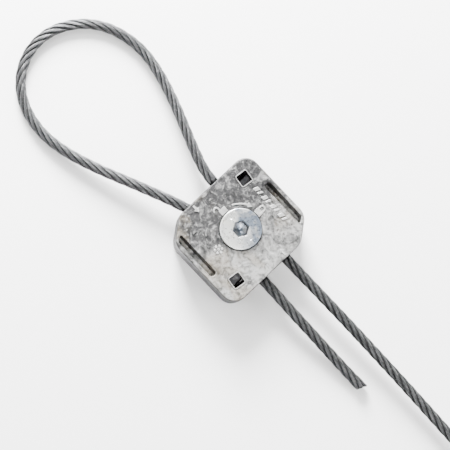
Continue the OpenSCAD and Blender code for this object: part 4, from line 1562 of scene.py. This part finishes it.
def ring_solid(name: str, section: list[tuple[float, float]], segments: int = 96, wave: float = 0.0
               ) -> bpy.types.Object:
    """Turn a closed section about Z into a ring.

    Args:
        name: Name of the piece.
        section: Radius and height of each point.
        segments: Segments round the axis.
        wave: Height of three waves round the ring.

    Returns:
        The ring.
    """
    verts = [(r * math.cos(a), r * math.sin(a), z + wave * math.cos(3 * a))
             for a in (TAU * i / segments for i in range(segments)) for r, z in section]
    made = mesh_object(name, np.array(verts), tube_faces(segments, len(section), closed=True))
    smooth(made)
    return made


@dataclass
class LockSpindle:
    """The quarter-turn cam spindle with its seal, washers, stop pin and retaining ring."""

    head: float = 11.5
    head_low: float = 17.8
    head_top: float = 21.8
    journal: float = 6.0
    groove: tuple[float, float] = (15.65, 16.75)
    cam: float = 5.5
    cam_flat: float = 4.25
    cam_low: float = 4.6
    cam_top: float = 15.4
    stub: float = 4.0
    socket: float = 8.0
    socket_depth: float = 5.0
    stop_at: float = 9.3
    stop: float = 1.25

    def make_cam(self) -> bpy.types.Object:
        """Shape the cam, a cylinder with two flats."""
        half = math.asin(self.cam_flat / self.cam)
        points = arc(self.cam, np.linspace(-half, half, 13))
        points += [(-x, -y) for x, y in points]
        levels = [(self.cam_low, -0.25), (self.cam_low + 0.25, 0),
                  (self.cam_top - 0.1, 0), (self.cam_top + 0.1, 0)]
        return loft("cam", Outline(points, 0.05, 0), levels)

    def cutters(self) -> list[bpy.types.Object]:
        """Shape the hex socket, its drilled floor, the two dimples and the stop pin's groove."""
        across = self.socket / 2 / math.cos(math.pi / 6)
        hexagon = Outline(arc(across, [k * math.pi / 3 for k in range(6)]), 0.18, 3)
        floor = self.head_top - self.socket_depth
        mouth = [(self.head_top - 0.45, 0.0), (self.head_top - 0.1, 0.28), (self.head_top + 0.3, 0.75)]
        solids = [loft("socket", hexagon, [(floor, -0.1), (floor + 0.1, 0.0), *mouth]),
                  lathe("drill", [(0.1, floor - 1.4), (3.75, floor), (3.75, floor + 0.6)], 64)]
        dimple = [(0.08, self.head_top - 0.45), (0.55, self.head_top - 0.2), (0.85, self.head_top + 0.15)]
        solids += [lathe("dimple", dimple, 32, moved(x, 0)) for x in (-7.7, 7.7)]
        wide = self.stop + 0.3
        sweep = np.linspace(math.pi, 1.5 * math.pi, 19)
        caps = np.linspace(0, math.pi, 9)[1:-1]
        outer = arc(self.stop_at + wide, sweep)
        inner = arc(self.stop_at - wide, sweep[::-1])
        end = [(wide * math.sin(a), -self.stop_at - wide * math.cos(a)) for a in caps]
        start = arc(wide, caps, (-self.stop_at, 0))
        groove = Outline(outer + end + inner + start, 0.05, 0)
        solids.append(loft("stop_groove", groove, [(self.head_low - 1, 0), (self.head_low + 1.7, 0)]))
        return solids

    def make_spindle(self) -> bpy.types.Object:
        """Turn and mill the spindle."""
        low, high = self.groove
        upper = [(self.journal, self.cam_top), (self.journal, low), (self.journal - 1, low + 0.02),
                 (self.journal - 1, high - 0.02), (self.journal, high), (self.journal, self.head_low),
                 (self.head - 0.3, self.head_low), (self.head, self.head_low + 0.3)]
        edge = [(self.head + out, z) for z, out in rounded_top(self.head_top - 0.06, 0.5)]
        face = [(self.head - 2.5, self.head_top - 0.02), (self.head - 5, self.head_top), (0.5, self.head_top)]
        spindle = lathe("lock_spindle_body", upper + edge + face, 128)
        neck = [(self.stub - 0.3, 0.3), (self.stub, 0.6), (self.stub, 0.85), (self.stub - 0.7, 0.87),
                (self.stub - 0.7, 1.73), (self.stub, 1.75), (self.stub, self.cam_low + 0.2)]
        combine(spindle, [self.make_cam(), lathe("stub", neck, 96)], "UNION")
        combine(spindle, self.cutters())
        smooth(spindle, 24)
        return spindle

    def make_retaining_ring(self) -> bpy.types.Object:
        """Stamp the open ring with its two plier eyes."""
        low, high = 0.9, 1.7
        levels = [(low, -0.08), (low + 0.08, 0), (high - 0.08, 0), (high, -0.08)]
        through = [(low - 1, 0), (high + 1, 0)]
        ring = loft("retaining_ring", disc(self.stub + 1.3), levels)
        eyes = [(math.sin(a) * (self.stub + 0.9), math.cos(a) * (self.stub + 0.9))
                for a in (math.radians(-24), math.radians(24))]
        combine(ring, [loft("eye", disc(1.2, at, 32), levels) for at in eyes], "UNION")
        gap = Outline([(1.1, 0), (1.1, 9), (-1.1, 9), (-1.1, 0)], 0.1, 2)
        combine(ring, [loft("bore", disc(self.stub - 0.65), through), loft("gap", gap, through)]
                + [loft("hole", disc(0.5, at, 24), through) for at in eyes])
        smooth(ring)
        return ring

    def build(self) -> None:
        """Build the spindle and its small parts."""
        dress(self.make_spindle(), Finish.PLATED, Body.SPINDLE, "lock_spindle")
        dress(self.make_retaining_ring(), Finish.DARK, Body.SPINDLE, "spindle_retaining_ring")
        bead = arc(0.48, np.linspace(0, TAU, 17)[:-1], (self.journal - 0.5, sum(self.groove) / 2))
        dress(ring_solid("spindle_seal", bead), Finish.SEAL, Body.SPINDLE, "spindle_seal_ring")
        wave = [(6.32, 17.33), (7.78, 17.33), (7.78, 17.57), (6.32, 17.57)]
        washer = ring_solid("wave_spring_washer", wave, wave=0.12)
        dress(washer, Finish.SPRING, Body.HOUSING, "spindle_wave_washer")
        flat = [(4.18, 1.75), (7.52, 1.75), (7.6, 1.83), (7.6, 2.27), (7.52, 2.35), (4.18, 2.35), (4.1, 2.27),
                (4.1, 1.83)]
        dress(ring_solid("thrust_washer", flat), Finish.SPRING, Body.HOUSING, "spindle_thrust_washer")
        spot = moved(-self.stop_at, 0)
        pin = lathe("turn_stop_dowel", [(0.3, 10.2), (0.95, 10.2), (self.stop, 10.5), (self.stop, 18.4),
                                        (0.95, 18.7), (0.3, 18.7)], 40, spot)
        smooth(pin)
        dress(pin, Finish.DARK, Body.HOUSING, "turn_stop_pin")


# ---------------------------------------------------------------------------------------------
# Wedges
# ---------------------------------------------------------------------------------------------

@dataclass
class GripWedge:
    """A toothed wedge with its spring, shaped on the line's side and turned to its own.

    Attributes:
        side: Side of the grip that it belongs to.
        housing: The housing, whose pocket it runs in.
    """

    side: Side
    housing: Housing
    back: float = -19.55
    front: float = 7.95
    inner: float = 10.4
    half: float = 5.5
    bevel: float = 0.8
    groove: float = 3.15
    tooth: float = 0.45
    pitch: float = 1.6
    spring_y: float = 17.4
    spring_radius: float = 3.1
    wire: float = 0.9
    turns: int = 5
    behind: float = 4.39
    ahead: float = 9.95
    travel: float = 3.5

    def spring_axis(self) -> Matrix:
        """Give the matrix that lays a shape's Z along the spring's axis."""
        turn = Matrix.Rotation(-math.radians(self.housing.taper), 4, "Z")
        place = moved(self.back, self.spring_y, self.housing.mid)
        return place @ turn @ Matrix.Rotation(math.pi / 2, 4, "Y")

    def make_wedge(self) -> bpy.types.Object:
        """Mill the wedge, its toothed rope groove and its spring's bore."""
        wall, gap, b = self.housing.wall_at, 0.05, self.bevel
        points = [(self.back, self.inner), (self.front - b, self.inner), (self.front, self.inner + b),
                  (self.front, wall(self.front) - gap - b), (self.front - b, wall(self.front - b) - gap),
                  (self.back, wall(self.back) - gap)]
        low, high = self.housing.mid - self.half, self.housing.mid + self.half
        levels = [(low, -0.3), (low + 0.3, 0.0), (high - 0.3, 0.0), (high, -0.3)]
        wedge = loft(f"{self.side.name.lower()}_toothed_wedge", Outline(points, 0.25, 3), levels)
        saw = [(self.groove, self.back - 1), (self.groove, self.back + self.pitch)]
        x = self.back + self.pitch
        while x < self.front - self.pitch:
            saw += [(self.groove + self.tooth, x + 0.05), (self.groove + self.tooth, x + self.pitch / 2),
                    (self.groove, x + self.pitch * 0.55), (self.groove, x + self.pitch)]
            x += self.pitch
        saw.append((self.groove, self.front + 1))
        rope = lathe("teeth", saw, 64, along_x(0, self.housing.rope_y, self.housing.mid))
        bore = lathe("spring_bore", [(4.25, -1), (4.25, 0), (4.05, 0.25), (4.05, 10)], 48, self.spring_axis())
        combine(wedge, [rope, bore])
        smooth(wedge)
        wedge.data.transform(self.side.matrix())
        return wedge

    def make_spring(self) -> bpy.types.Object:
        """Coil the spring, with closed ends."""
        steps, sides = 30, 12
        count = steps * self.turns
        share = np.arange(count + 1) / count
        dead = 0.75 / self.turns
        rise = np.clip((share - dead) / (1 - 2 * dead), 0, 1)
        length = self.behind + self.ahead
        z = -self.behind + self.wire * 0.5 + share * self.wire * 0.3 + rise * (length - self.wire * 1.3)
        angle = TAU * self.turns * share
        ring = TAU * np.arange(sides) / sides
        reach = self.spring_radius + self.wire / 2 * np.cos(ring)
        verts = np.stack([np.cos(angle)[:, None] * reach[None, :], np.sin(angle)[:, None] * reach[None, :],
                          z[:, None] + self.wire / 2 * np.sin(ring)[None, :]], 2)
        spring = mesh_object(f"{self.side.name.lower()}_wedge_coil", verts.reshape(-1, 3),
                             tube_faces(count + 1, sides), self.side.matrix() @ self.spring_axis())
        smooth(spring, 40)
        return spring

    def build(self) -> None:
        """Build the wedge and its spring."""
        name = self.side.name.lower()
        body = Body.LINE_WEDGE if self.side is Side.LINE else Body.TAIL_WEDGE
        dress(self.make_wedge(), Finish.DARK, body, f"{name}_wedge")
        spring = dress(self.make_spring(), Finish.SPRING, Body.HOUSING, f"{name}_wedge_spring")
        place = self.side.matrix() @ self.spring_axis()
        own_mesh(spring)


def main() -> None:
    """Build the grip piece by piece."""
    logging.basicConfig(level=logging.INFO, format="%(name)s: %(message)s")
    housing = Housing()
    Studio().build(housing.top)
    eye = RopeEye()
    eye.build()
    RopeRun().build(eye)
    housing.build()
    LockSpindle().build()
    for side in Side:
        GripWedge(side, housing).build()


if __name__ == "__main__":
    main()
